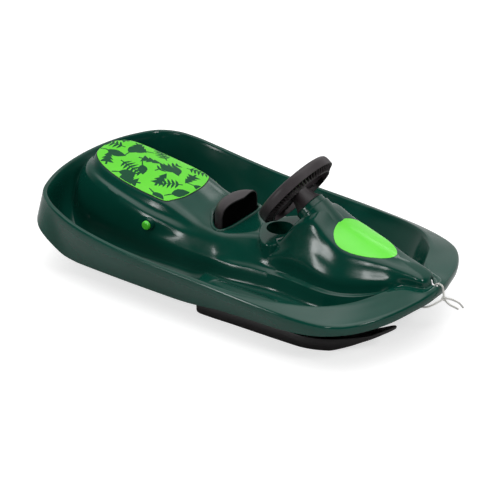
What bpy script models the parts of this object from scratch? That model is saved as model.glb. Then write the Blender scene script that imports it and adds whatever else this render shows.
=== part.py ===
"""Steering bobsled for one child: a thin moulded hull with rim, footwells, seat hump and hood,
a steering wheel that turns two skis through a cranked column and a tie bar, a hand brake with a
toothed claw, and a short tow cord at the nose.  Metres, +Z up, +X to the nose, +Y to the left."""
import bpy
import bmesh
import math
from mathutils import Matrix, Vector
from mathutils.bvhtree import BVHTree

# driving dimensions of the moulding
LENGTH = 1.0            # rear of the rim to just short of the nose
HALF_WIDTH = 0.28       # middle to the outside of the rim
RIM_HEIGHT = 0.20       # ground to a little above the rear rim
WALL = 0.003            # thickness of the moulding
FIT_GAP = 0.0003        # gap between pieces that touch
PLATE_RISE = 0.002      # how far the plate round the cup stands proud of the hull
RUN_GAP = 0.00006       # gap between a shaft and the bore it turns in
LABEL_THICK = 0.0006

# steering
WHEEL_RADIUS = 0.1012
COLUMN_TILT = math.radians(36.2)
COLUMN_RADIUS = 0.006
COLLAR_RADIUS = 0.037
BUSH_RADIUS = 0.0095
CRANK_REACH = 0.058
CRANK_RADIUS = 0.0045
BALL_RADIUS = 0.0065
BOLT_RADIUS = 0.004
STUD_RADIUS = 0.004
TIE_THICK = 0.005
TIE_HEIGHT = 0.0345

# brake
AXLE_RADIUS = 0.004
CAP_RADIUS = 0.0125
BRAKE_HUB_RADIUS = 0.011
CLAW_THICK = 0.003

# tow cord
CORD_RADIUS = 0.0022
KNOT_RADIUS = 0.0062
CORD_STEP_DIAMETERS = 2.05

# how finely round things are divided
FINE_SIDES = 32
ROUND_SIDES = 20
SMALL_SIDES = 12
CURVE_SAMPLES = 8
STATIONS = 39

# plan curves of the hull from tail to nose, one side:
# (share of the length, share of the half width, share of the rim height)
PLAN_CURVE_shares = {
    # seat edge and hood crown edge
    "seat": [
        (-0.434, 0, 1.14), (-0.427, 0.1321, 1.133), (-0.408, 0.225, 1.11), (-0.37, 0.2821, 1.058),
        (-0.32, 0.3107, 1.002), (-0.26, 0.3214, 0.955), (-0.21, 0.3179, 0.92), (-0.175, 0.3036, 0.885),
        (-0.14, 0.2857, 0.82), (-0.1, 0.2857, 0.765), (-0.06, 0.3, 0.745), (-0.02, 0.3, 0.7375),
        (0.02, 0.25, 0.755), (0.05, 0.2071, 0.78), (0.09, 0.2071, 0.7825), (0.122, 0.2143, 0.8),
        (0.145, 0.2071, 0.93), (0.175, 0.1786, 1.11), (0.21, 0.1786, 1.155), (0.25, 0.2, 1.055),
        (0.3, 0.2179, 0.95), (0.35, 0.175, 0.915), (0.4, 0.1214, 0.875), (0.45, 0.0893, 0.83),
        (0.478, 0.0643, 0.8), (0.4825, 0, 0.795),
    ],
    # groove outside the seat, slope of the hood
    "groove": [
        (-0.447, 0, 1.055), (-0.439, 0.1464, 1.048), (-0.418, 0.2536, 1.025), (-0.38, 0.3161, 0.975),
        (-0.32, 0.3518, 0.91), (-0.26, 0.3679, 0.855), (-0.21, 0.3679, 0.805), (-0.165, 0.35, 0.76),
        (-0.12, 0.3357, 0.715), (-0.07, 0.3429, 0.7), (-0.02, 0.3464, 0.685), (0.03, 0.2857, 0.705),
        (0.06, 0.2607, 0.715), (0.09, 0.2571, 0.7175), (0.125, 0.2607, 0.74), (0.15, 0.2536, 0.825),
        (0.18, 0.2321, 0.95), (0.21, 0.2357, 0.97), (0.25, 0.2607, 0.89), (0.3, 0.2821, 0.805),
        (0.35, 0.2321, 0.79), (0.4, 0.1625, 0.785), (0.45, 0.1143, 0.775), (0.483, 0.0786, 0.76),
        (0.487, 0, 0.755),
    ],
    # ridge beside the seat, side edge of the hood
    "ridge": [
        (-0.461, 0, 0.995), (-0.454, 0.1607, 0.99), (-0.43, 0.2786, 0.98), (-0.39, 0.3482, 0.95),
        (-0.33, 0.3911, 0.89), (-0.27, 0.4161, 0.8225), (-0.22, 0.4232, 0.76), (-0.165, 0.4, 0.71),
        (-0.12, 0.3821, 0.655), (-0.07, 0.3821, 0.635), (-0.02, 0.3857, 0.61), (0.03, 0.3464, 0.615),
        (0.09, 0.3125, 0.63), (0.125, 0.3125, 0.66), (0.15, 0.3107, 0.695), (0.2, 0.3232, 0.71),
        (0.25, 0.3464, 0.69), (0.3, 0.3429, 0.66), (0.35, 0.2857, 0.67), (0.4, 0.2018, 0.7),
        (0.44, 0.1086, 0.7175), (0.4855, 0.0729, 0.7175), (0.4895, 0, 0.7175),
    ],
    # top of the steep flank, foot of the hood side
    "valley": [
        (-0.469, 0, 0.945), (-0.4625, 0.1786, 0.91), (-0.441, 0.3143, 0.825), (-0.4, 0.3946, 0.71),
        (-0.33, 0.4339, 0.635), (-0.27, 0.4464, 0.595), (-0.22, 0.4464, 0.58), (-0.165, 0.4268, 0.575),
        (-0.12, 0.4179, 0.555), (-0.07, 0.4179, 0.54), (-0.02, 0.4214, 0.53), (0.03, 0.3964, 0.53),
        (0.09, 0.3625, 0.54), (0.125, 0.3429, 0.535), (0.15, 0.3304, 0.525), (0.2, 0.3393, 0.52),
        (0.25, 0.3589, 0.52), (0.3, 0.3554, 0.52), (0.35, 0.2982, 0.54), (0.4, 0.2143, 0.6),
        (0.43, 0.1214, 0.675), (0.445, 0.11, 0.695), (0.4862, 0.0786, 0.6925), (0.4905, 0, 0.6925),
    ],
    # edge of the narrow ledge
    "ledge": [
        (-0.4735, 0, 0.92), (-0.4675, 0.1964, 0.86), (-0.4475, 0.3464, 0.71), (-0.41, 0.425, 0.56),
        (-0.34, 0.4554, 0.5), (-0.27, 0.4607, 0.485), (-0.2, 0.4589, 0.48), (-0.12, 0.4464, 0.475),
        (-0.02, 0.4429, 0.475), (0.03, 0.4339, 0.48), (0.09, 0.4036, 0.49), (0.15, 0.3786, 0.495),
        (0.2, 0.3857, 0.5), (0.25, 0.3982, 0.5), (0.3, 0.3857, 0.5), (0.35, 0.3286, 0.52),
        (0.4, 0.2357, 0.59), (0.427, 0.1696, 0.67), (0.445, 0.1171, 0.6925), (0.4872, 0.0829, 0.69),
        (0.4915, 0, 0.69),
    ],
    # foot of the flank
    "foot": [
        (-0.4765, 0, 0.91), (-0.4705, 0.2143, 0.8), (-0.452, 0.3679, 0.525), (-0.415, 0.4411, 0.35),
        (-0.34, 0.4714, 0.295), (-0.27, 0.4786, 0.285), (-0.2, 0.475, 0.285), (-0.12, 0.4643, 0.29),
        (-0.055, 0.4607, 0.295), (-0.02, 0.4571, 0.33), (0.03, 0.4518, 0.35), (0.09, 0.425, 0.36),
        (0.15, 0.4, 0.36), (0.2, 0.4071, 0.36), (0.25, 0.4179, 0.36), (0.3, 0.4036, 0.365),
        (0.35, 0.35, 0.39), (0.39, 0.2661, 0.49), (0.415, 0.2107, 0.62), (0.43, 0.14, 0.68),
        (0.445, 0.1229, 0.691), (0.4882, 0.0886, 0.688), (0.4923, 0, 0.688),
    ],
    # inner edge of the footwell floor
    "floor_in": [
        (-0.4785, 0, 0.905), (-0.4722, 0.2286, 0.75), (-0.453, 0.3964, 0.43), (-0.42, 0.4732, 0.285),
        (-0.34, 0.5071, 0.23), (-0.27, 0.5143, 0.225), (-0.2, 0.5107, 0.225), (-0.12, 0.5, 0.225),
        (-0.055, 0.4964, 0.23), (-0.02, 0.4929, 0.27), (0.03, 0.4875, 0.28), (0.09, 0.4607, 0.29),
        (0.15, 0.4357, 0.29), (0.2, 0.4429, 0.29), (0.25, 0.4536, 0.29), (0.3, 0.4357, 0.3),
        (0.35, 0.3821, 0.335), (0.388, 0.3036, 0.435), (0.41, 0.2464, 0.56), (0.426, 0.1964, 0.665),
        (0.445, 0.1286, 0.69), (0.489, 0.0943, 0.687), (0.493, 0, 0.6865),
    ],
    # outer edge of the footwell floor
    "floor_out": [
        (-0.4802, 0, 0.9075), (-0.4745, 0.2571, 0.75), (-0.459, 0.4679, 0.45), (-0.435, 0.6143, 0.31),
        (-0.4, 0.6893, 0.25), (-0.34, 0.7143, 0.23), (-0.2, 0.7143, 0.225), (-0.05, 0.7107, 0.225),
        (0.1, 0.6929, 0.235), (0.2, 0.6643, 0.25), (0.28, 0.6214, 0.265), (0.33, 0.5607, 0.29),
        (0.368, 0.4571, 0.34), (0.394, 0.3536, 0.45), (0.412, 0.2714, 0.58), (0.428, 0.2071, 0.67),
        (0.445, 0.1343, 0.69), (0.4897, 0.1, 0.6865), (0.4936, 0, 0.686),
    ],
    # foot of the outer wall
    "wall_low": [
        (-0.4822, 0, 0.915), (-0.4765, 0.2857, 0.78), (-0.4625, 0.5143, 0.51), (-0.44, 0.6714, 0.395),
        (-0.405, 0.7482, 0.335), (-0.34, 0.775, 0.305), (-0.2, 0.775, 0.285), (-0.05, 0.7714, 0.285),
        (0.1, 0.7536, 0.295), (0.2, 0.7179, 0.31), (0.28, 0.6714, 0.33), (0.335, 0.6018, 0.355),
        (0.376, 0.4857, 0.41), (0.4, 0.3714, 0.52), (0.4165, 0.2786, 0.625), (0.43, 0.1686, 0.6825),
        (0.446, 0.14, 0.691), (0.4904, 0.1057, 0.687), (0.4942, 0, 0.686),
    ],
    # top of the outer wall
    "wall_top": [
        (-0.4862, 0, 0.935), (-0.4812, 0.3107, 0.9), (-0.4645, 0.5446, 0.865), (-0.437, 0.7393, 0.84),
        (-0.399, 0.8429, 0.815), (-0.355, 0.8964, 0.7675), (-0.3, 0.9268, 0.71), (-0.2, 0.9375, 0.645),
        (-0.1, 0.9339, 0.605), (0, 0.9268, 0.58), (0.1, 0.9143, 0.565), (0.2, 0.8839, 0.57),
        (0.28, 0.825, 0.59), (0.34, 0.7321, 0.605), (0.385, 0.5607, 0.62), (0.408, 0.4, 0.64),
        (0.4215, 0.2964, 0.6675), (0.432, 0.1743, 0.695), (0.447, 0.1457, 0.694),
        (0.4912, 0.1114, 0.688), (0.4948, 0, 0.6865),
    ],
    # inner edge of the rim and of the front deck
    "edge_in": [
        (-0.4905, 0, 0.9625), (-0.4855, 0.3196, 0.9525), (-0.469, 0.5554, 0.939),
        (-0.4415, 0.7536, 0.925), (-0.403, 0.8607, 0.9), (-0.357, 0.9186, 0.854),
        (-0.3, 0.9518, 0.7925), (-0.2, 0.9643, 0.72), (-0.1, 0.9607, 0.6775), (0, 0.9536, 0.6525),
        (0.1, 0.9429, 0.635), (0.2, 0.9143, 0.64), (0.28, 0.8607, 0.659), (0.345, 0.7607, 0.6725),
        (0.39, 0.5821, 0.679), (0.412, 0.4143, 0.686), (0.4245, 0.3071, 0.696), (0.435, 0.2012, 0.702),
        (0.449, 0.1682, 0.7), (0.4922, 0.1288, 0.689), (0.4956, 0, 0.687),
    ],
    # outer edge of the rim and of the front deck
    "edge_out": [
        (-0.5, 0, 0.9625), (-0.4938, 0.3286, 0.9525), (-0.477, 0.5714, 0.939), (-0.4485, 0.775, 0.925),
        (-0.408, 0.8893, 0.9), (-0.36, 0.95, 0.854), (-0.3, 0.9846, 0.7925), (-0.2, 0.9982, 0.72),
        (-0.1, 0.9946, 0.675), (0, 0.9875, 0.65), (0.1, 0.9839, 0.6325), (0.2, 0.9786, 0.6075),
        (0.3, 0.9589, 0.58), (0.36, 0.9179, 0.5675), (0.397, 0.8643, 0.57), (0.432, 0.7643, 0.585),
        (0.472, 0.5357, 0.6175), (0.497, 0.2607, 0.6475), (0.5055, 0.125, 0.665), (0.508, 0, 0.6725),
    ],
    # lower edge of the turned-down skirt
    "skirt": [
        (-0.509, 0, 0.675), (-0.503, 0.35, 0.6625), (-0.487, 0.6071, 0.645), (-0.459, 0.8179, 0.62),
        (-0.425, 0.9429, 0.58), (-0.398, 0.9804, 0.52), (-0.38, 0.95, 0.4), (-0.36, 0.9107, 0.285),
        (-0.33, 0.8893, 0.23), (-0.28, 0.8804, 0.2125), (-0.2, 0.8768, 0.205), (-0.1, 0.875, 0.205),
        (0, 0.8786, 0.22), (0.1, 0.8982, 0.295), (0.2, 0.9179, 0.34), (0.27, 0.9304, 0.3675),
        (0.34, 0.9214, 0.41), (0.385, 0.8786, 0.445), (0.43, 0.7643, 0.475), (0.472, 0.5321, 0.51),
        (0.497, 0.2571, 0.55), (0.506, 0.125, 0.565), (0.5085, 0, 0.575),
    ],
}
# crest of the moulding on the centre line, (along, up)
CREST_shares = [
    (-0.36, 1.095), (-0.3, 1.048), (-0.26, 1.015), (-0.21, 0.975), (-0.175, 0.935), (-0.14, 0.85),
    (-0.1, 0.785), (-0.06, 0.755), (-0.02, 0.74), (0.02, 0.755), (0.05, 0.78), (0.09, 0.7825),
    (0.12, 0.79), (0.138, 0.91), (0.165, 1.12), (0.185, 1.21), (0.21, 1.205), (0.25, 1.12),
    (0.3, 1.035), (0.35, 0.965), (0.4, 0.9),
]
# order of the curves from the middle of the hull outwards
CURVE_ORDER = ["seat", "groove", "ridge", "valley", "ledge", "foot", "floor_in", "floor_out",
               "wall_low", "wall_top", "edge_in"]
# how many faces lie between neighbouring curves, middle to skirt
SECTION_SPLITS = [1, 1, 1, 1, 1, 1, 1, 1, 1, 2, 1, 1, 1, 1, 1, 1, 1, 1]
# how closely the section lines follow each other, (share of the length, closeness)
CLOSENESS_shares = [(-0.52, 1.00), (-0.38, 1.10), (-0.32, 0.75), (0.00, 0.80), (0.09, 1.50), (0.28, 1.50),
                    (0.34, 1.20), (0.52, 1.20)]
# outlines in plan, (share of the length, share of the half width), one side
SEAT_LABEL_shares = [
    (-0.4400, 0.0000), (-0.4360, 0.0750), (-0.4230, 0.1680), (-0.4010, 0.2340), (-0.3700, 0.2740),
    (-0.3200, 0.3040), (-0.2700, 0.3150), (-0.2250, 0.3150), (-0.1950, 0.3060), (-0.1830, 0.2920),
    (-0.1745, 0.2500), (-0.1640, 0.1250), (-0.1610, 0.0000),
]
HOOD_LABEL_shares = [
    (0.2530, 0.0000), (0.2530, 0.0600), (0.2560, 0.1150), (0.2630, 0.1640), (0.2740, 0.2000),
    (0.2880, 0.2140), (0.3160, 0.2040), (0.3450, 0.1740), (0.3680, 0.1320), (0.3850, 0.0850),
    (0.3950, 0.0350), (0.3970, 0.0000),
]
BRAKE_OPENING_shares = [
    (-0.0930, 0.0000), (-0.0925, 0.0357), (-0.0900, 0.0714), (-0.0850, 0.1071), (-0.0780, 0.1411),
    (-0.0695, 0.1786), (-0.0565, 0.2339), (-0.0460, 0.2636), (-0.0370, 0.2750), (-0.0300, 0.2714),
    (-0.0250, 0.2518), (-0.0232, 0.2214), (-0.0220, 0.1429), (-0.0216, 0.0000),
]
CUP_PLATE_shares = [
    (0.0370, 0.0000), (0.0394, 0.0271), (0.0445, 0.0786), (0.0519, 0.1336), (0.0605, 0.1786),
    (0.0701, 0.2236), (0.0795, 0.2561), (0.0891, 0.2829), (0.0970, 0.2993), (0.1048, 0.3093),
    (0.1145, 0.3064), (0.1221, 0.2914), (0.1266, 0.2661), (0.1283, 0.2350), (0.1320, 0.1607),
    (0.1320, 0.0000),
]
FOOTREST_shares = [
    (-0.0375, 0.4036), (-0.0360, 0.4929), (-0.0240, 0.6357), (-0.0150, 0.6661), (0.0000, 0.6786),
    (0.1500, 0.6732), (0.1900, 0.6571), (0.2150, 0.6143), (0.2320, 0.5536), (0.2400, 0.4821),
    (0.2420, 0.4036),
]
FOOTREST_DIP_shares = [
    (0.0040, 0.5357), (0.0100, 0.5143), (0.0200, 0.5054), (0.1650, 0.5000), (0.1780, 0.5107),
    (0.1850, 0.5357), (0.1850, 0.5857), (0.1780, 0.6179), (0.1650, 0.6321), (0.0200, 0.6393),
    (0.0100, 0.6304), (0.0040, 0.6071),
]
# left ski: (along, outer edge, inner edge, underside, top), shares as above
SKI_shares = [
    (-0.0050, 0.7179, 0.5071, 0.0400, 0.1000), (0.0000, 0.7429, 0.4786, 0.0150, 0.1300),
    (0.0100, 0.7464, 0.4714, 0.0000, 0.1500), (0.0500, 0.7429, 0.4679, 0.0000, 0.1500),
    (0.1000, 0.7321, 0.4643, 0.0000, 0.1500), (0.1500, 0.7250, 0.4589, 0.0000, 0.1500),
    (0.2000, 0.7179, 0.4536, 0.0000, 0.1500), (0.2400, 0.7107, 0.4429, 0.0000, 0.1500),
    (0.2800, 0.7000, 0.4214, 0.0000, 0.1500), (0.3100, 0.6696, 0.4000, 0.0000, 0.1500),
    (0.3400, 0.6143, 0.3714, 0.0000, 0.1520), (0.3600, 0.5607, 0.3500, 0.0250, 0.1560),
    (0.3800, 0.5143, 0.3321, 0.0650, 0.1680), (0.4000, 0.4821, 0.3143, 0.1200, 0.1960),
    (0.4200, 0.4500, 0.2964, 0.1750, 0.2330), (0.4400, 0.4000, 0.2857, 0.2350, 0.2830),
    (0.4520, 0.3571, 0.2893, 0.2700, 0.3120), (0.4580, 0.3286, 0.3000, 0.2900, 0.3230),
]
# centre lines of the cord pieces: (along, across, up)
CORD_LOOP_shares = [
    (0.5209, 0.0193, 0.5975), (0.5185, 0.0257, 0.6310), (0.5170, 0.0304, 0.6650),
    (0.5146, 0.0311, 0.6940), (0.5095, 0.0314, 0.7105), (0.5035, 0.0314, 0.7105),
    (0.4984, 0.0304, 0.6930), (0.4961, 0.0268, 0.6650), (0.4940, 0.0161, 0.6325),
    (0.4905, -0.0036, 0.6025), (0.4855, -0.0321, 0.5750), (0.4800, -0.0679, 0.5500),
    (0.4785, -0.1018, 0.5300), (0.4830, -0.1304, 0.5150), (0.4915, -0.1357, 0.5075),
    (0.5000, -0.1179, 0.5075), (0.5080, -0.0821, 0.5200), (0.5145, -0.0429, 0.5400),
    (0.5197, -0.0032, 0.5575),
]
KNOT_shares = (0.5220, 0.0179, 0.5655)
TAIL_ONE_shares = [
    (0.5249, 0.0236, 0.5375), (0.5285, 0.0375, 0.5075), (0.5325, 0.0643, 0.4675),
    (0.5365, 0.1000, 0.4275), (0.5400, 0.1386, 0.3850),
]
TAIL_TWO_shares = [
    (0.5253, 0.0386, 0.5585), (0.5310, 0.0714, 0.5375), (0.5360, 0.1143, 0.4950),
    (0.5390, 0.1554, 0.4475), (0.5400, 0.1893, 0.4000), (0.5400, 0.2196, 0.3510),
]


def clear_scene():
    for old in list(bpy.data.objects):
        bpy.data.objects.remove(old, do_unlink=True)


def collection(name):
    made = bpy.data.collections.new(name)
    bpy.context.scene.collection.children.link(made)
    return made


clear_scene()
PARTS = collection("steering_bobsled")
TOOLS = collection("bobsled_cutters")


def material(name, colour, roughness, metallic=0.0):
    made = bpy.data.materials.new(name)
    made.use_nodes = True
    shader = made.node_tree.nodes["Principled BSDF"]
    shader.inputs["Base Color"].default_value = (*colour, 1.0)
    shader.inputs["Roughness"].default_value = roughness
    shader.inputs["Metallic"].default_value = metallic
    made.diffuse_color = (*colour, 1.0)
    return made


GREEN = material("green_polyethylene", (0.012, 0.09, 0.065), 0.25)
BLACK = material("black_polypropylene", (0.035, 0.03, 0.033), 0.45)
SKI_BLACK = material("black_polyethylene", (0.02, 0.018, 0.018), 0.5)
LIME = material("lime_vinyl", (0.13, 0.72, 0.05), 0.35)
BRIGHT = material("bright_green_vinyl", (0.23, 0.95, 0.1), 0.3)
CAP_GREEN = material("lime_polypropylene", (0.12, 0.75, 0.05), 0.35)
STEEL = material("zinc_plated_steel", (0.55, 0.55, 0.57), 0.35, 1.0)
BUSH_WHITE = material("natural_acetal", (0.8, 0.8, 0.76), 0.5)
CORD_WHITE = material("white_polyester_cord", (0.8, 0.8, 0.8), 0.8)


def at(along, across, up):
    """A point given as shares of the length, half width and rim height."""
    return Vector((along * LENGTH, across * HALF_WIDTH, up * RIM_HEIGHT))


def keep(name, mesh_builder, colour, origin=None):
    """Turns a bmesh into a part with its origin on its joint axis."""
    origin = origin or Vector((0.0, 0.0, 0.0))
    bmesh.ops.recalc_face_normals(mesh_builder, faces=mesh_builder.faces)
    mesh_builder.transform(Matrix.Translation(-origin))
    mesh = bpy.data.meshes.new(name)
    mesh_builder.to_mesh(mesh)
    mesh_builder.free()
    mesh.materials.append(colour)
    made = bpy.data.objects.new(name, mesh)
    made.location = origin
    PARTS.objects.link(made)
    return made


def tool(name, mesh_builder):
    """Turns a bmesh into a shape that only cuts or joins."""
    bmesh.ops.recalc_face_normals(mesh_builder, faces=mesh_builder.faces)
    mesh = bpy.data.meshes.new(name)
    mesh_builder.to_mesh(mesh)
    mesh_builder.free()
    made = bpy.data.objects.new(name, mesh)
    made.hide_render = True
    made.display_type = "WIRE"
    TOOLS.objects.link(made)
    return made


def combine(target, other, how):
    step = target.modifiers.new(how.lower() + "_" + other.name, "BOOLEAN")
    step.operation = how
    step.solver = "EXACT"
    step.object = other
    return step


def join(target, name, mesh_builder):
    combine(target, tool(name, mesh_builder), "UNION")


def cut(target, name, mesh_builder):
    combine(target, tool(name, mesh_builder), "DIFFERENCE")


def drum(radius, low, high, sides, place=None, top_radius=None, turn=0.0):
    """A closed cylinder or cone along Z from low to high, then placed."""
    made = bmesh.new()
    middle = Matrix.Translation((0.0, 0.0, (low + high) / 2.0)) @ Matrix.Rotation(turn, 4, "Z")
    bmesh.ops.create_cone(made, cap_ends=True, cap_tris=False, segments=sides, radius1=radius,
                          radius2=radius if top_radius is None else top_radius,
                          depth=high - low, matrix=(place or Matrix()) @ middle)
    return made


def running(radius, sides):
    """Radius of a many-sided bore in which a shaft of this radius turns freely."""
    return (radius + RUN_GAP) / math.cos(math.pi / sides)


def ball(radius, centre, sides):
    made = bmesh.new()
    bmesh.ops.create_uvsphere(made, u_segments=sides, v_segments=sides // 2, radius=radius,
                              matrix=Matrix.Translation(centre))
    return made


def block(low, high, place=None, bevel=0.0, steps=1):
    """A box between two corners, its upright edges or all edges rounded."""
    made = bmesh.new()
    size = high - low
    bmesh.ops.create_cube(made, size=1.0,
                          matrix=Matrix.Translation((low + high) / 2.0) @ Matrix.Diagonal((*size, 1.0)))
    if bevel > 0.0:
        bmesh.ops.bevel(made, geom=list(made.edges), offset=bevel, segments=steps, affect="EDGES",
                        profile=0.5)
    if place is not None:
        made.transform(place)
    return made


def prism(outline, low, high, place=None):
    """A flat outline pushed along Z from low to high."""
    made = bmesh.new()
    base = made.faces.new([made.verts.new((x, y, low)) for x, y in outline])
    pushed = bmesh.ops.extrude_face_region(made, geom=[base])
    moved = [v for v in pushed["geom"] if isinstance(v, bmesh.types.BMVert)]
    bmesh.ops.translate(made, verts=moved, vec=(0.0, 0.0, high - low))
    if place is not None:
        made.transform(place)
    return made


def both_sides(shares):
    """A closed plan outline from the one-sided shares of a piece symmetric about the middle."""
    left = [at(a, b, 0.0) for a, b in shares]
    right = [Vector((p.x, -p.y, 0.0)) for p in reversed(left[1:-1])]
    return [(p.x, p.y) for p in left + right]


def smooth_line(points, samples, mirrored):
    """A centripetal Catmull-Rom curve through points, as a polyline."""
    first = Vector((points[1].x, -points[1].y, points[1].z)) if mirrored else points[0] * 2 - points[1]
    last = Vector((points[-2].x, -points[-2].y, points[-2].z)) if mirrored else points[-1] * 2 - points[-2]
    chain = [first] + list(points) + [last]
    line = []
    for i in range(1, len(chain) - 2):
        p0, p1, p2, p3 = chain[i - 1:i + 3]
        t0 = 0.0
        t1 = t0 + math.sqrt((p1 - p0).length)
        t2 = t1 + math.sqrt((p2 - p1).length)
        t3 = t2 + math.sqrt((p3 - p2).length)
        for k in range(samples):
            t = t1 + (t2 - t1) * k / samples
            a1 = p0 * ((t1 - t) / (t1 - t0)) + p1 * ((t - t0) / (t1 - t0))
            a2 = p1 * ((t2 - t) / (t2 - t1)) + p2 * ((t - t1) / (t2 - t1))
            a3 = p2 * ((t3 - t) / (t3 - t2)) + p3 * ((t - t2) / (t3 - t2))
            b1 = a1 * ((t2 - t) / (t2 - t0)) + a2 * ((t - t0) / (t2 - t0))
            b2 = a2 * ((t3 - t) / (t3 - t1)) + a3 * ((t - t1) / (t3 - t1))
            line.append(b1 * ((t2 - t) / (t2 - t1)) + b2 * ((t - t1) / (t2 - t1)))
    line.append(chain[-2])
    return line


CURVES = {name: smooth_line([at(*row) for row in rows], CURVE_SAMPLES, True)
          for name, rows in PLAN_CURVE_shares.items()}
CREST = smooth_line([at(a, 0.0, b) for a, b in CREST_shares], CURVE_SAMPLES, False)


def crest_height(along):
    for a, b in zip(CREST, CREST[1:]):
        if a.x <= along <= b.x:
            return a.z + (b.z - a.z) * (along - a.x) / (b.x - a.x)
    return CREST[0].z if along < CREST[0].x else CREST[-1].z


def crossing(start, outer, curve):
    """Where the plan line from start through outer meets a plan curve: (share of line, height)."""
    run = outer - start
    best = None
    for a, b in zip(curve, curve[1:]):
        side_a = (a.x - start.x) * run.y - (a.y - start.y) * run.x
        side_b = (b.x - start.x) * run.y - (b.y - start.y) * run.x
        if side_a == side_b or side_a * side_b > 0.0:
            continue
        met = a.lerp(b, side_a / (side_a - side_b))
        share = ((met.x - start.x) * run.x + (met.y - start.y) * run.y) / (run.x ** 2 + run.y ** 2)
        if share > 0.0 and (best is None or share < best[0]):
            best = (share, met.z)
    return best


# where a section line starts on the middle line, by the outer point it runs to
FAN_shares = {"tail": -0.33, "nose": 0.28, "tail_start": -0.345, "tail_pull": 0.235,
              "mid_start": -0.305, "nose_reach": 0.115, "nose_end": 0.508}
NOSE_FAN_POWER = 1.4
CROWN_share = 0.30
DECK_IN_share = 0.22
DECK_OUT_share = 0.80
DECK_CROWN = 0.0012
BAND_OUT = 0.0022
BAND_DROP = 0.0085


def section_start(outer):
    share = outer.x / LENGTH
    fan = FAN_shares
    if share < fan["tail"]:
        start = fan["tail_start"] + (share + 0.5) * fan["tail_pull"]
    elif share > fan["nose"]:
        left = (fan["nose_end"] - share) / (fan["nose_end"] - fan["nose"])
        start = fan["nose"] + fan["nose_reach"] * (1.0 - max(0.0, left) ** NOSE_FAN_POWER)
    else:
        done = (share - fan["tail"]) / (fan["nose"] - fan["tail"])
        start = fan["mid_start"] + done * (fan["nose"] - fan["mid_start"])
    return Vector((start * LENGTH, 0.0, 0.0))


def section(outer):
    """Heights of the hull along one section line: start, run and the (share, height) points."""
    start = section_start(outer)
    run = Vector((outer.x - start.x, outer.y, 0.0))
    crest = crest_height(start.x)
    share, height = crossing(start, outer, CURVES["seat"])
    points = [(0.0, crest), (share / 2.0, crest + (height - crest) * CROWN_share), (share, height)]
    for name in CURVE_ORDER[1:]:
        points.append(crossing(start, outer, CURVES[name]))
    share_in, height_in = points[-1]
    for part in (DECK_IN_share, DECK_OUT_share):
        points.append((share_in + (1.0 - share_in) * part,
                       height_in + (outer.z - height_in) * part + DECK_CROWN))
    points.append((1.0, outer.z))
    points.append((1.0 + BAND_OUT / run.length, outer.z - BAND_DROP))
    points.append(crossing(start, outer, CURVES["skirt"]))
    return start, run, points


def profile(points, scale, splits):
    """The section smoothed and divided: plan distance and height, as 2D vectors."""
    chain = [Vector((-points[1][0] * scale, points[1][1]))]
    chain += [Vector((share * scale, height)) for share, height in points]
    chain.append(chain[-1] * 2 - chain[-2])
    out = []
    for i in range(1, len(chain) - 2):
        p0, p1, p2, p3 = chain[i - 1:i + 3]
        t1 = math.sqrt((p1 - p0).length)
        t2 = t1 + math.sqrt((p2 - p1).length)
        t3 = t2 + math.sqrt((p3 - p2).length)
        for k in range(splits[i - 1]):
            t = t1 + (t2 - t1) * k / splits[i - 1]
            a1 = p0 * ((t1 - t) / t1) + p1 * (t / t1)
            a2 = p1 * ((t2 - t) / (t2 - t1)) + p2 * ((t - t1) / (t2 - t1))
            a3 = p2 * ((t3 - t) / (t3 - t2)) + p3 * ((t - t2) / (t3 - t2))
            b1 = a1 * ((t2 - t) / t2) + a2 * (t / t2)
            b2 = a2 * ((t3 - t) / (t3 - t1)) + a3 * ((t - t1) / (t3 - t1))
            out.append(b1 * ((t2 - t) / (t2 - t1)) + b2 * ((t - t1) / (t2 - t1)))
    out.append(chain[-2])
    return out


def closeness(share):
    for (a, low), (b, high) in zip(CLOSENESS_shares, CLOSENESS_shares[1:]):
        if a <= share <= b:
            return low + (high - low) * (share - a) / (b - a)
    return CLOSENESS_shares[-1][1]


def outer_points(count):
    """Points along the outer edge, tail to nose, closer together round the hood and the ends."""
    line = CURVES["edge_out"]
    reach = [0.0]
    for a, b in zip(line, line[1:]):
        reach.append(reach[-1] + (b - a).length * closeness((a.x + b.x) / 2.0 / LENGTH))
    points = []
    j = 0
    for i in range(count):
        want = reach[-1] * i / (count - 1)
        while j < len(reach) - 2 and reach[j + 1] < want:
            j += 1
        share = (want - reach[j]) / (reach[j + 1] - reach[j])
        points.append(line[j].lerp(line[j + 1], min(1.0, share)))
    points[0].y = 0.0
    points[-1].y = 0.0
    return points


def hull_rows(count, splits):
    """Rows of points over the left half of the hull, one row for each section line."""
    rows = []
    for outer in outer_points(count):
        start, run, points = section(outer)
        row = []
        for flat in profile(points, run.length, splits):
            spot = start + run * (flat.x / run.length)
            row.append(Vector((spot.x, spot.y, flat.y)))
        if outer.y == 0.0:
            for spot in row:
                spot.y = 0.0
        row[0].y = 0.0
        rows.append(row)
    return rows


ROWS = hull_rows(STATIONS, SECTION_SPLITS)
WIDE = len(ROWS[0])


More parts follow.
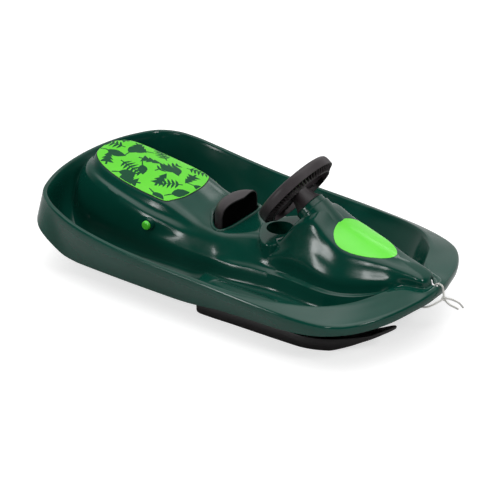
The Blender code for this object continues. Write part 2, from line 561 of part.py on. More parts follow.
def half_sheet(first_row, last_row, last_column, lift=0.0):
    """A sheet over part of the half hull, lifted along its normals."""
    made = bmesh.new()
    grid = [[made.verts.new(spot) for spot in row[:last_column + 1]]
            for row in ROWS[first_row:last_row + 1]]
    for a, b in zip(grid, grid[1:]):
        for j in range(last_column):
            made.faces.new((a[j], a[j + 1], b[j + 1], b[j]))
    bmesh.ops.triangulate(made, faces=made.faces, quad_method="SHORT_EDGE")
    bmesh.ops.mirror(made, geom=list(made.verts) + list(made.edges) + list(made.faces),
                              merge_dist=WALL / 100.0, axis="Y")
    bmesh.ops.recalc_face_normals(made, faces=made.faces)
    made.normal_update()
    if sum(face.normal.z for face in made.faces) < 0.0:
        bmesh.ops.reverse_faces(made, faces=made.faces)
        made.normal_update()
    if lift:
        moves = [(v, v.normal.copy()) for v in made.verts]
        for v, normal in moves:
            v.co += normal * lift
    return made


SKIN = BVHTree.FromPolygons([spot for row in ROWS for spot in row],
                            [(i * WIDE + j, i * WIDE + j + 1, (i + 1) * WIDE + j + 1, (i + 1) * WIDE + j)
                             for i in range(STATIONS - 1) for j in range(WIDE - 1)])


def skin_height(x, y):
    """Height of the top of the hull over a plan point."""
    hit = SKIN.ray_cast(Vector((x, abs(y), RIM_HEIGHT * 3)), Vector((0.0, 0.0, -1.0)))
    return hit[0].z


def closed_ring(points, radius, resolution):
    """A closed round tube along points, as a bmesh, from a bevelled curve."""
    curve = bpy.data.curves.new("ring_path", "CURVE")
    curve.dimensions = "3D"
    curve.bevel_depth = radius
    curve.bevel_resolution = resolution
    path = curve.splines.new("POLY")
    path.points.add(len(points) - 1)
    for spot, point in zip(path.points, points):
        spot.co = (*point, 1.0)
    path.use_cyclic_u = True
    holder = bpy.data.objects.new("ring_path", curve)
    TOOLS.objects.link(holder)
    mesh = holder.to_mesh()
    made = bmesh.new()
    made.from_mesh(mesh)
    holder.to_mesh_clear()
    bpy.data.objects.remove(holder, do_unlink=True)
    bmesh.ops.remove_doubles(made, verts=made.verts, dist=radius / 1000.0)
    return made


# the hull
BRAKE_AXIS = at(-0.205, 0.0, 0.655)
WHEEL_CENTRE = at(0.128, 0.0, 1.3365)
DOWN_COLUMN = Vector((math.cos(COLUMN_TILT), 0.0, -math.sin(COLUMN_TILT)))
UP_WHEEL = Vector((math.sin(COLUMN_TILT), 0.0, math.cos(COLUMN_TILT)))
COLUMN_FRAME = Matrix.Translation(WHEEL_CENTRE) @ Matrix(
    (UP_WHEEL, Vector((0.0, 1.0, 0.0)), -DOWN_COLUMN)).transposed().to_4x4()
SKI_PIVOT = at(0.290, 0.5643, 0.0)
STUD_AT = at(0.170, 0.5643, 0.0)
COLLAR_TOP = 0.0467
COLLAR_DEPTH = 0.080
COLLAR_CLOSED = 0.040
COLLAR_WALL = 0.0045
COLUMN_FOOT = 0.300
LOWER_WEB = 0.250
CUP_AT = at(0.087, 0.0, 0.0)
CUP_RADIUS = 0.0325
CUP_DEPTH = 0.045
KEEL_HALF = 0.011
BOSS_RADIUS = 0.014
BOSS_LOW = 0.0435
BOSS_TOP = 0.0565
CORD_SLOT_HALF = Vector((0.0095, 0.0040, 0.03))
CORD_SLOT_shares = (0.4940, 0.0311, 0.69)

hull = keep("hull_shell", half_sheet(0, STATIONS - 1, WIDE - 1), GREEN)
thicken = hull.modifiers.new("wall", "SOLIDIFY")
thicken.thickness = WALL
thicken.offset = -1.0


def across_frame(centre):
    """Places a Z-built shape so that it runs from right to left through centre."""
    return Matrix.Translation(centre) @ Matrix.Rotation(-math.pi / 2.0, 4, "X")


def mirrored(make):
    """Calls make for the left side (1) and the right side (-1)."""
    for side, word in ((1.0, "left"), (-1.0, "right")):
        make(side, word)


collar_low = -(COLLAR_TOP + COLLAR_DEPTH)
join(hull, "collar", drum(COLLAR_RADIUS, collar_low, -COLLAR_TOP, FINE_SIDES, COLUMN_FRAME))
cut(hull, "collar_hollow", drum(COLLAR_RADIUS - COLLAR_WALL, collar_low - COLLAR_RADIUS / 2.0,
                                -COLLAR_TOP - COLLAR_CLOSED, FINE_SIDES, COLUMN_FRAME))
cup_top = skin_height(CUP_AT.x, 0.0)


def raised_plate(shares, side, top, least):
    """A plate over a plan outline whose lower face follows the hull under it."""
    corners = both_sides(shares) if side == 0.0 else [
        (at(a, 0.0, 0.0).x, at(0.0, across * side, 0.0).y) for a, across in shares]
    made = prism(corners, 0.0, top)
    for spot in made.verts:
        if spot.co.z == 0.0:
            spot.co.z = min(skin_height(spot.co.x, spot.co.y) - WALL / 2.0, top - least)
    return made


join(hull, "cup_plate", raised_plate(CUP_PLATE_shares, 0.0, cup_top + PLATE_RISE, PLATE_RISE))
cup_place = Matrix.Translation((CUP_AT.x, 0.0, cup_top))
join(hull, "cup_pot", drum(CUP_RADIUS + WALL, -CUP_DEPTH - WALL, -WALL / 2.0, FINE_SIDES, cup_place))

web_middle = WHEEL_CENTRE + DOWN_COLUMN * LOWER_WEB
WEB_HALF = Vector((0.012, 0.012, 0.028))
web_top = skin_height(web_middle.x + WEB_HALF.x, WEB_HALF.y) - WALL / 2.0
join(hull, "bush_web", block(Vector((web_middle.x - WEB_HALF.x, -WEB_HALF.y, web_middle.z - WEB_HALF.z)),
                             Vector((web_middle.x + WEB_HALF.x, WEB_HALF.y, web_top))))

KEEL_shares = {"rear": -0.400, "front": -0.045, "across": 0.5900}
KEEL_BEVEL = 0.006
TOWER_shares = {"rear": 0.262, "front": 0.312, "inner": 0.625, "outer": 0.672, "top": 0.42}
PAD_RISE = 0.005
FOOTREST_TOP = 0.0605


def hull_side(side, word):
    keel_y = KEEL_shares["across"] * HALF_WIDTH * side
    keel_top = skin_height(-0.2 * LENGTH, keel_y) - WALL / 2.0
    join(hull, "keel_" + word, block(
        Vector((KEEL_shares["rear"] * LENGTH, keel_y - KEEL_HALF, 0.0)),
        Vector((KEEL_shares["front"] * LENGTH, keel_y + KEEL_HALF, keel_top)), None, KEEL_BEVEL, 2))
    pivot = Vector((SKI_PIVOT.x, SKI_PIVOT.y * side, 0.0))
    join(hull, "ski_boss_" + word, drum(BOSS_RADIUS, BOSS_LOW, BOSS_TOP, ROUND_SIDES, Matrix.Translation(pivot)))
    axle = Vector((BRAKE_AXIS.x, 0.0, BRAKE_AXIS.z))
    low, high = sorted((AXLE_BOSS_IN * side, AXLE_BOSS_OUT * side))
    join(hull, "axle_boss_" + word, drum(AXLE_BOSS_RADIUS, low, high, ROUND_SIDES, across_frame(axle)))
    join(hull, "footrest_" + word, raised_plate(FOOTREST_shares, side, FOOTREST_TOP, PAD_RISE))
    dip = [(at(a, 0.0, 0.0).x, at(0.0, across * side, 0.0).y) for a, across in FOOTREST_DIP_shares]
    cut(hull, "footrest_dip_" + word, prism(dip, FOOTREST_TOP - PAD_RISE / 2.0, RIM_HEIGHT))
    tower = TOWER_shares
    corners = [(tower["rear"] * LENGTH, tower["inner"] * HALF_WIDTH * side),
               (tower["front"] * LENGTH, tower["inner"] * HALF_WIDTH * side),
               (tower["front"] * LENGTH, tower["outer"] * HALF_WIDTH * side),
               (tower["rear"] * LENGTH, tower["outer"] * HALF_WIDTH * side)]
    lump = prism(corners, 0.0, tower["top"] * RIM_HEIGHT)
    for spot in lump.verts:
        if spot.co.z == 0.0:
            spot.co.z = min(skin_height(spot.co.x, spot.co.y) - WALL / 2.0, tower["top"] * RIM_HEIGHT - WALL)
    join(hull, "tower_" + word, lump)


AXLE_BOSS_RADIUS = 0.015
AXLE_BOSS_IN = 0.104
AXLE_BOSS_OUT = 0.1285
mirrored(hull_side)

# raised bead round the brake opening, then the opening itself
BEAD_RADIUS = 0.0045
BEAD_OUT = 0.0035
opening = [Vector((x, y, 0.0)) for x, y in both_sides(BRAKE_OPENING_shares)]


def grown(outline, distance):
    """A closed plan outline moved outwards by a distance."""
    moved = []
    for i, spot in enumerate(outline):
        along = outline[(i + 1) % len(outline)] - outline[i - 1]
        moved.append(spot - Vector((along.y, -along.x, 0.0)).normalized() * distance)
    return moved


bead_line = []
outer_line = grown(opening, BEAD_OUT)
for a, b in zip(outer_line, outer_line[1:] + outer_line[:1]):
    bead_line += [a, a.lerp(b, 0.5)]
bead_path = [Vector((p.x, p.y, skin_height(p.x, p.y) - WALL / 3.0)) for p in bead_line]
join(hull, "brake_bead", closed_ring(bead_path, BEAD_RADIUS, 2))
cut(hull, "brake_opening", prism([(p.x, p.y) for p in opening], RIM_HEIGHT / 2.0, RIM_HEIGHT))

# cup, bores for bushes, axle, bolts and cord
cut(hull, "cup_hollow", drum(CUP_RADIUS, -CUP_DEPTH, WALL * 3.0, FINE_SIDES, cup_place))
cut(hull, "column_bore", drum(BUSH_RADIUS + FIT_GAP, -LOWER_WEB - BUSH_RADIUS * 4, 0.0, ROUND_SIDES, COLUMN_FRAME))
cut(hull, "axle_bore", drum(AXLE_RADIUS + FIT_GAP, -HALF_WIDTH / 2.0, HALF_WIDTH / 2.0, SMALL_SIDES, across_frame(BRAKE_AXIS)))
for side, word in ((1.0, "left"), (-1.0, "right")):
    cut(hull, "bolt_bore_" + word, drum(BOLT_RADIUS + FIT_GAP, WALL, RIM_HEIGHT, SMALL_SIDES,
                                        Matrix.Translation((SKI_PIVOT.x, SKI_PIVOT.y * side, 0.0))))
cord_slot = at(*CORD_SLOT_shares)
cut(hull, "cord_slot", block(cord_slot - CORD_SLOT_HALF, cord_slot + CORD_SLOT_HALF, None, CORD_SLOT_HALF.y / 2.0, 2))


# labels: a thin sheet parallel to the hull, trimmed to its outline
def label(name, shares, colour, first_share, last_share, columns):
    """A label a hair above the skin, made from the same faces as the hull."""
    rows = [i for i, row in enumerate(ROWS) if first_share <= row[0].x / LENGTH <= last_share]
    first = max(0, rows[0] - 1)
    last = min(STATIONS - 1, rows[-1] + 1)
    sheet = keep(name, half_sheet(first, last, columns, FIT_GAP), colour)
    rise = sheet.modifiers.new("thickness", "SOLIDIFY")
    rise.thickness = LABEL_THICK
    rise.offset = 1.0
    combine(sheet, tool(name + "_outline", prism(both_sides(shares), RIM_HEIGHT / 2.0, RIM_HEIGHT * 2.0)),
            "INTERSECT")
    return sheet


SEAT_COLUMNS = 5
label("seat_label", SEAT_LABEL_shares, LIME, -0.50, -0.13, SEAT_COLUMNS)
label("hood_label", HOOD_LABEL_shares, BRIGHT, 0.22, 0.50, SEAT_COLUMNS)

# steering wheel: channel rim with ribs, three spokes and a hollow hub cone
RIM_PROFILE_shares = [
    (1.000, -0.098), (1.000, 0.060), (0.985, 0.115), (0.945, 0.150), (0.900, 0.158), (0.850, 0.145),
    (0.815, 0.100), (0.800, 0.030), (0.795, -0.200), (0.830, -0.200), (0.838, 0.020), (0.865, 0.095),
    (0.905, 0.112), (0.945, 0.098), (0.965, 0.050), (0.968, -0.098),
]
RIM_STEPS = 36
RIB_COUNT = 18
SPOKE_TURNS = (math.radians(90.0), math.radians(180.0), math.radians(270.0))
HUB_LOW_RADIUS = 0.034
HUB_TOP_RADIUS = 0.019
HUB_TOP = 0.000
HUB_BORE_TOP = -0.012
RIB_HALF = 0.0011
SPOKE_HALF = 0.0110
SPOKE_FLARE = 1.4
SPOKE_REACH_shares = (0.09, 0.83)
SPOKE_LOW_share = -0.080
SPOKE_TOP_share = -0.020
# outline of one rib inside the rim: (outwards, towards the rider)
RIB_shares = [(0.812, -0.198), (0.984, -0.096), (0.984, 0.040), (0.945, 0.125), (0.900, 0.135), (0.850, 0.118),
              (0.822, 0.060)]
HUB_HOLLOW_share = -0.20
SCREW_RADIUS = 0.0025
SCREW_HEAD_RADIUS = 0.0055
SCREW_HEAD = 0.003

wheel_mesh = bmesh.new()
ring = [wheel_mesh.verts.new((r * WHEEL_RADIUS, 0.0, z * WHEEL_RADIUS)) for r, z in RIM_PROFILE_shares]
for a, b in zip(ring, ring[1:] + ring[:1]):
    wheel_mesh.edges.new((a, b))
spun = bmesh.ops.spin(wheel_mesh, geom=list(wheel_mesh.verts) + list(wheel_mesh.edges), cent=(0.0, 0.0, 0.0),
                      axis=(0.0, 0.0, 1.0), angle=math.tau, steps=RIM_STEPS, use_merge=True)
wheel_mesh.transform(COLUMN_FRAME)
wheel = keep("steering_wheel", wheel_mesh, BLACK, WHEEL_CENTRE)

ribs = bmesh.new()
for i in range(RIB_COUNT):
    turn = Matrix.Rotation(math.tau * (i + 0.5) / RIB_COUNT, 4, "Z")
    upright = Matrix.Rotation(math.pi / 2.0, 4, "X")
    rib = prism([(r * WHEEL_RADIUS, z * WHEEL_RADIUS) for r, z in RIB_shares], -RIB_HALF, RIB_HALF,
                COLUMN_FRAME @ turn @ upright)
    bmesh.ops.recalc_face_normals(rib, faces=rib.faces)
    piece = bpy.data.meshes.new("rib_piece")
    rib.to_mesh(piece)
    rib.free()
    ribs.from_mesh(piece)
    bpy.data.meshes.remove(piece)
join(wheel, "wheel_ribs", ribs)
join(wheel, "wheel_hub", drum(HUB_LOW_RADIUS, -COLLAR_TOP + FIT_GAP, HUB_TOP, FINE_SIDES, COLUMN_FRAME, HUB_TOP_RADIUS))
for i, angle in enumerate(SPOKE_TURNS):
    near, far = SPOKE_REACH_shares
    wide, slim = SPOKE_HALF * SPOKE_FLARE, SPOKE_HALF
    outline = [(near * WHEEL_RADIUS, -wide), (far * WHEEL_RADIUS, -slim),
               (far * WHEEL_RADIUS, slim), (near * WHEEL_RADIUS, wide)]
    spoke = prism(outline, SPOKE_LOW_share * WHEEL_RADIUS, SPOKE_TOP_share * WHEEL_RADIUS,
                  COLUMN_FRAME @ Matrix.Rotation(angle, 4, "Z"))
    join(wheel, "wheel_spoke_%d" % (i + 1), spoke)
hollow_low = -COLLAR_TOP - FIT_GAP
hollow_high = HUB_HOLLOW_share * WHEEL_RADIUS
cut(wheel, "hub_hollow", drum(HUB_LOW_RADIUS - WALL, hollow_low, hollow_high, FINE_SIDES, COLUMN_FRAME,
                              HUB_LOW_RADIUS - WALL - (HUB_LOW_RADIUS - HUB_TOP_RADIUS) * 0.6))
HUB_CORE_RADIUS = 0.011
join(wheel, "hub_core", drum(HUB_CORE_RADIUS, -COLLAR_TOP + FIT_GAP, HUB_TOP - WALL, ROUND_SIDES, COLUMN_FRAME))
cut(wheel, "hub_bore", drum(COLUMN_RADIUS + FIT_GAP, hollow_low, HUB_BORE_TOP + FIT_GAP, ROUND_SIDES, COLUMN_FRAME))
cut(wheel, "screw_hole", drum(SCREW_RADIUS + FIT_GAP, HUB_BORE_TOP - WALL, HUB_TOP + WALL, SMALL_SIDES, COLUMN_FRAME))
cut(wheel, "screw_seat", drum(SCREW_HEAD_RADIUS + WALL / 3.0, HUB_TOP - SCREW_HEAD, HUB_TOP + WALL, ROUND_SIDES, COLUMN_FRAME))

# wheel screw
SCREW_LENGTH = 0.016
screw = keep("wheel_screw", drum(SCREW_RADIUS, -SCREW_LENGTH - SCREW_HEAD, -SCREW_HEAD + FIT_GAP * 2, SMALL_SIDES, COLUMN_FRAME),
             STEEL, WHEEL_CENTRE)
join(screw, "wheel_screw_head", drum(SCREW_HEAD_RADIUS, -SCREW_HEAD + FIT_GAP, HUB_TOP, ROUND_SIDES, COLUMN_FRAME))
cut(screw, "wheel_screw_drive", drum(SCREW_RADIUS, -SCREW_HEAD / 2.0, HUB_TOP + WALL, 6, COLUMN_FRAME))

# column with its crank and round end
column = keep("steering_column", drum(COLUMN_RADIUS, -COLUMN_FOOT, HUB_BORE_TOP, ROUND_SIDES, COLUMN_FRAME), STEEL, WHEEL_CENTRE)
crank_corner = WHEEL_CENTRE + DOWN_COLUMN * COLUMN_FOOT
crank_way = Vector((-math.sin(COLUMN_TILT), 0.0, -math.cos(COLUMN_TILT)))
crank_frame = Matrix.Translation(crank_corner) @ crank_way.to_track_quat("Z", "Y").to_matrix().to_4x4()
join(column, "crank_elbow", ball(COLUMN_RADIUS * 1.06, crank_corner, SMALL_SIDES + 2))
join(column, "crank_arm", drum(CRANK_RADIUS, 0.0, CRANK_REACH, SMALL_SIDES, crank_frame))
join(column, "crank_ball", ball(BALL_RADIUS, crank_corner + crank_way * CRANK_REACH, SMALL_SIDES + 2))
cut(column, "column_thread", drum(SCREW_RADIUS + FIT_GAP, -SCREW_LENGTH - WALL * 2, 0.0, SMALL_SIDES, COLUMN_FRAME))
BALL_AT = crank_corner + crank_way * CRANK_REACH

# bushes
UPPER_BUSH = (-0.082, -0.052)
LOWER_BUSH_HALF = 0.010


def bush(name, low, high):
    made = keep(name, drum(BUSH_RADIUS, low, high, ROUND_SIDES, COLUMN_FRAME), BUSH_WHITE, WHEEL_CENTRE)
    cut(made, name + "_bore", drum(running(COLUMN_RADIUS, ROUND_SIDES), low - WALL, high + WALL, ROUND_SIDES,
                                  COLUMN_FRAME))


bush("upper_bush", *UPPER_BUSH)
bush("lower_bush", -LOWER_WEB - LOWER_BUSH_HALF, -LOWER_WEB + LOWER_BUSH_HALF)

# tie bar: a T-shaped plate; its cross bar has a slot for each stud and its tongue ends in a fork
# that takes the round end of the crank with play, so the wheel pushes the whole bar left or right
TIE_HALF = 0.014
TIE_END = 0.013
TONGUE_HALF = 0.0115
TONGUE_AHEAD = 0.018
FORK_GAP = 0.0007
FORK_WALL = 0.003
FORK_TOP = 0.050
SLOT_SIDE = 0.0005
SLOT_TRAVEL = 0.0045
tie_end_y = STUD_AT.y + TIE_END
tongue_end = BALL_AT.x + TONGUE_AHEAD
tie_outline = [(STUD_AT.x - TIE_HALF, -tie_end_y), (STUD_AT.x + TIE_HALF, -tie_end_y),
               (STUD_AT.x + TIE_HALF, -TONGUE_HALF * 2), (STUD_AT.x + TIE_HALF * 2, -TONGUE_HALF),
               (tongue_end, -TONGUE_HALF), (tongue_end, TONGUE_HALF),
               (STUD_AT.x + TIE_HALF * 2, TONGUE_HALF), (STUD_AT.x + TIE_HALF, TONGUE_HALF * 2),
               (STUD_AT.x + TIE_HALF, tie_end_y), (STUD_AT.x - TIE_HALF, tie_end_y)]
tie = keep("tie_bar", prism(tie_outline, TIE_HEIGHT, TIE_HEIGHT + TIE_THICK), STEEL,
           Vector((STUD_AT.x, 0.0, TIE_HEIGHT)))
fork_y = BALL_RADIUS + FORK_GAP
for side, word in ((1.0, "left"), (-1.0, "right")):
    low, high = sorted((fork_y * side, (fork_y + FORK_WALL) * side))
    join(tie, "fork_" + word, block(Vector((BALL_AT.x - BALL_RADIUS * 1.5, low, TIE_HEIGHT + TIE_THICK / 2.0)),
                                    Vector((BALL_AT.x + BALL_RADIUS * 2.0, high, FORK_TOP))))
cut(tie, "fork_floor", block(Vector((BALL_AT.x - BALL_RADIUS * 1.4, -fork_y, TIE_HEIGHT - TIE_THICK)),
                             Vector((BALL_AT.x + BALL_RADIUS * 1.9, fork_y, FORK_TOP + WALL))))
for side, word in ((1.0, "left"), (-1.0, "right")):
    half = Vector((STUD_RADIUS + SLOT_TRAVEL, STUD_RADIUS + SLOT_SIDE, TIE_THICK * 2))
    centre = Vector((STUD_AT.x, STUD_AT.y * side, TIE_HEIGHT))
    cut(tie, "stud_slot_" + word, block(centre - half, centre + half))

# skis: open trays with a boss for the pivot bolt and one for the steering stud
SKI_WALL = 0.004
SKI_FLOOR = 0.006
PIVOT_BOSS = 0.016
STUD_BOSS = 0.009
BOLT_HEAD_RADIUS = 0.0075
BOLT_HEAD = 0.0045
BOLT_REST = 0.008


def ski_body(side, inset, floor, lid):
    """The ski's outer shape, or with an inset the hollow inside it."""
    made = bmesh.new()
    rings = []
    rows = SKI_shares[1:-3] if inset else SKI_shares
    for i, (a, outer, inner, low, high) in enumerate(rows):
        spot = at(a, 0.0, 0.0).x
        if inset and i == 0:
            spot += inset
        y_out = (outer * HALF_WIDTH - inset) * side
        y_in = (inner * HALF_WIDTH + inset) * side
        z_low = low * RIM_HEIGHT + floor
        z_high = high * RIM_HEIGHT + lid
        rings.append([made.verts.new(p) for p in ((spot, y_out, z_low), (spot, y_out, z_high),
                                                  (spot, y_in, z_high), (spot, y_in, z_low))])
    for a, b in zip(rings, rings[1:]):
        for j in range(4):
            made.faces.new((a[j], a[(j + 1) % 4], b[(j + 1) % 4], b[j]))
    made.faces.new(rings[0])
    made.faces.new(list(reversed(rings[-1])))
    return made


def make_ski(side, word):
    pivot = Vector((SKI_PIVOT.x, SKI_PIVOT.y * side, 0.0))
    stud = Vector((STUD_AT.x, STUD_AT.y * side, 0.0))
    ski = keep("ski_" + word, ski_body(side, 0.0, 0.0, 0.0), SKI_BLACK, pivot)
    cut(ski, "ski_hollow_" + word, ski_body(side, SKI_WALL, SKI_FLOOR, RIM_HEIGHT / 10.0))
    join(ski, "pivot_boss_" + word, drum(PIVOT_BOSS, WALL / 2.0, BOSS_LOW - FIT_GAP, ROUND_SIDES, Matrix.Translation(pivot)))
    join(ski, "stud_boss_" + word, drum(STUD_BOSS, WALL, TIE_HEIGHT - FIT_GAP, ROUND_SIDES, Matrix.Translation(stud)))
    cut(ski, "pivot_bore_" + word, drum(running(BOLT_RADIUS, SMALL_SIDES), -WALL, RIM_HEIGHT, SMALL_SIDES,
                                       Matrix.Translation(pivot)))
    cut(ski, "head_seat_" + word, drum(BOLT_HEAD_RADIUS + WALL / 3.0, -WALL, BOLT_REST, ROUND_SIDES, Matrix.Translation(pivot)))
    cut(ski, "stud_bore_" + word, drum(STUD_RADIUS * 0.6 + FIT_GAP, SKI_FLOOR, RIM_HEIGHT, SMALL_SIDES, Matrix.Translation(stud)))
    bolt = keep("pivot_bolt_" + word, drum(BOLT_RADIUS, BOLT_REST - FIT_GAP - BOLT_HEAD / 2.0, BOLT_END, SMALL_SIDES,
                                           Matrix.Translation(pivot)), STEEL, pivot)
    join(bolt, "pivot_head_" + word, drum(BOLT_HEAD_RADIUS, BOLT_REST - FIT_GAP - BOLT_HEAD, BOLT_REST - FIT_GAP, 6,
                                          Matrix.Translation(pivot)))
    nut = keep("pivot_nut_" + word, drum(NUT_RADIUS, BOSS_TOP + FIT_GAP, BOSS_TOP + FIT_GAP + NUT_HEIGHT, 6,
                                         Matrix.Translation(pivot)), STEEL, pivot)
    cut(nut, "nut_bore_" + word, drum(BOLT_RADIUS + FIT_GAP, BOSS_LOW, RIM_HEIGHT, SMALL_SIDES, Matrix.Translation(pivot)))
    pin = keep("steering_stud_" + word, drum(STUD_RADIUS, TIE_HEIGHT, STUD_HEAD_LOW + WALL / 2.0, SMALL_SIDES,
                                             Matrix.Translation(stud)), STEEL, stud)
    join(pin, "stud_head_" + word, drum(STUD_RADIUS * 1.7, STUD_HEAD_LOW, STUD_HEAD_LOW + WALL, ROUND_SIDES,
                                        Matrix.Translation(stud)))
    join(pin, "stud_shank_" + word, drum(STUD_RADIUS * 0.6, SKI_FLOOR + WALL, TIE_HEIGHT + WALL, SMALL_SIDES,
                                         Matrix.Translation(stud)))
    washer = keep("stud_washer_" + word, drum(STUD_RADIUS * 2.2, TIE_HEIGHT + TIE_THICK + FIT_GAP,
                                              STUD_HEAD_LOW - FIT_GAP, ROUND_SIDES, Matrix.Translation(stud)), STEEL, stud)
    cut(washer, "washer_bore_" + word, drum(STUD_RADIUS + FIT_GAP, TIE_HEIGHT, RIM_HEIGHT, SMALL_SIDES, Matrix.Translation(stud)))


NUT_RADIUS = 0.0075
NUT_HEIGHT = 0.0065
BOLT_END = BOSS_TOP + NUT_HEIGHT + WALL
STUD_HEAD_LOW = TIE_HEIGHT + TIE_THICK + WALL * 0.6
mirrored(make_ski)

# brake lever: hub, two arms, hand scoop and the bar that carries the claw
SCOOP_RADII = Vector((0.0645, 0.0725, 0.0505))
SCOOP_WALL = 0.0035
SCOOP_CENTRE_shares = (-0.0137, 0.0, 0.7775)
SCOOP_BASE_share = 0.505
SCOOP_PLAN_POWER = 2.38
SCOOP_RISE_POWER = 3.54
SCOOP_FLOOR_END = -0.032
SCOOP_ROUND = 18
SCOOP_RINGS = 8
SCOOP_FRONT_shares = [(-0.0174, 0.0), (-0.0340, 0.3300), (0.1000, 0.3300), (0.1000, 0.0)]
ARM_IN = 0.031
ARM_OUT = 0.039
HUB_HALF = 0.044
ARM_shares = [
    (-0.3160, 0.1550), (-0.3050, 0.1550), (-0.3050, 0.1765), (-0.2050, 0.6060), (-0.1500, 0.3900),
    (-0.0980, 0.3500), (-0.0560, 0.4200), (-0.0500, 0.5140), (-0.0790, 0.5140), (-0.0870, 0.4720),
    (-0.1020, 0.4500), (-0.1500, 0.4900), (-0.1985, 0.6925), (-0.2099, 0.6835), (-0.3080, 0.2500),
    (-0.3160, 0.2500),
]
CLAW_BAR_shares = {"rear": -0.3170, "front": -0.3040, "low": 0.150, "high": 0.255}
CLAW_HALF = 0.045
CLAW_TEETH = 5
CLAW_LOW_share = 0.055
CLAW_ROOT_share = 0.130
CLAW_TOP_share = 0.250
CLAW_SCREW_AT = 0.022
CLAW_SCREW_RADIUS = 0.002

scoop_centre = at(*SCOOP_CENTRE_shares)
scoop_base = SCOOP_BASE_share * RIM_HEIGHT


def scoop_shape(radii, base):
    """The rear half of a rounded box dome on an upright wall, closed by a flat front and base."""
    made = bmesh.new()
    rings = []
    for k in range(-1, SCOOP_RINGS):
        rise = 0.0 if k < 0 else math.pi / 2.0 * k / SCOOP_RINGS
        reach = math.cos(rise) ** (2.0 / SCOOP_RISE_POWER)
        height = base if k < 0 else scoop_centre.z + radii.z * math.sin(rise) ** (2.0 / SCOOP_RISE_POWER)
        ring = []
        for i in range(SCOOP_ROUND + 1):
            turn = math.pi * i / SCOOP_ROUND
            back = math.sin(turn) ** (2.0 / SCOOP_PLAN_POWER) if 0 < i < SCOOP_ROUND else 0.0
            across = abs(math.cos(turn)) ** (2.0 / SCOOP_PLAN_POWER) * (1.0 if i * 2 < SCOOP_ROUND else -1.0)
            ring.append(made.verts.new((scoop_centre.x - radii.x * back * reach,
                                        radii.y * across * reach, height)))
        rings.append(ring)
    peak = made.verts.new((scoop_centre.x, 0.0, scoop_centre.z + radii.z))
    for low, high in zip(rings, rings[1:]):
        for i in range(SCOOP_ROUND):
            made.faces.new((low[i], low[i + 1], high[i + 1], high[i]))
    for i in range(SCOOP_ROUND):
        made.faces.new((rings[-1][i], rings[-1][i + 1], peak))
    made.faces.new([ring[0] for ring in rings] + [peak] + [ring[-1] for ring in reversed(rings)])
    made.faces.new(rings[0])
    return made


lever = keep("brake_lever", drum(BRAKE_HUB_RADIUS, -HUB_HALF, HUB_HALF, ROUND_SIDES, across_frame(BRAKE_AXIS)), BLACK, BRAKE_AXIS)
scoop_tool = tool("scoop_outside", scoop_shape(SCOOP_RADII, scoop_base))
inner_radii = SCOOP_RADII - Vector((SCOOP_WALL, SCOOP_WALL, SCOOP_WALL))
combine(scoop_tool, tool("scoop_inside", scoop_shape(inner_radii, scoop_base + SCOOP_WALL)), "DIFFERENCE")
front_cut = prism(both_sides(SCOOP_FRONT_shares), scoop_base + SCOOP_WALL, LENGTH / 2.0)
combine(scoop_tool, tool("scoop_front", front_cut), "DIFFERENCE")
floor_cut = block(Vector((SCOOP_FLOOR_END, -HALF_WIDTH, scoop_base - WALL)),
                  Vector((LENGTH / 2.0, HALF_WIDTH, scoop_base + SCOOP_WALL * 2.0)))
combine(scoop_tool, tool("scoop_floor_end", floor_cut), "DIFFERENCE")


def side_plate(name, shares, side):
    """A flat arm cut from plate: its outline is in X and Z, its thickness in Y."""
    outline = [(at(a, 0.0, b).x, at(a, 0.0, b).z) for a, b in shares]
    low, high = sorted((-ARM_IN * side, -ARM_OUT * side))
    join(lever, name, prism(outline, low, high, Matrix.Rotation(math.pi / 2.0, 4, "X")))


for side, word in ((1.0, "left"), (-1.0, "right")):
    side_plate("lever_arm_" + word, ARM_shares, side)
combine(lever, scoop_tool, "UNION")
bar = CLAW_BAR_shares
join(lever, "claw_bar", block(Vector((bar["rear"] * LENGTH, -CLAW_HALF + WALL, bar["low"] * RIM_HEIGHT)),
                              Vector((bar["front"] * LENGTH, CLAW_HALF - WALL, bar["high"] * RIM_HEIGHT))))
cut(lever, "lever_bore", drum(running(AXLE_RADIUS, ROUND_SIDES), -HALF_WIDTH, HALF_WIDTH, ROUND_SIDES,
                              across_frame(BRAKE_AXIS)))

# toothed claw plate and its screws
claw_face = bar["rear"] * LENGTH - FIT_GAP
teeth = [(-CLAW_HALF, CLAW_TOP_share * RIM_HEIGHT)]
for i in range(CLAW_TEETH):
    left = -CLAW_HALF + 2 * CLAW_HALF * i / CLAW_TEETH
    wide = 2 * CLAW_HALF / CLAW_TEETH
    teeth += [(left, CLAW_ROOT_share * RIM_HEIGHT), (left + wide * 0.35, CLAW_LOW_share * RIM_HEIGHT),
              (left + wide * 0.65, CLAW_LOW_share * RIM_HEIGHT)]
teeth += [(CLAW_HALF, CLAW_ROOT_share * RIM_HEIGHT), (CLAW_HALF, CLAW_TOP_share * RIM_HEIGHT)]
face_rear = Matrix(((0.0, 0.0, 1.0, claw_face - CLAW_THICK), (1.0, 0.0, 0.0, 0.0), (0.0, 1.0, 0.0, 0.0), (0.0, 0.0, 0.0, 1.0)))
claw = keep("brake_claw", prism(teeth, 0.0, CLAW_THICK, face_rear), STEEL, BRAKE_AXIS)
claw_z = (bar["low"] + bar["high"]) / 2.0 * RIM_HEIGHT
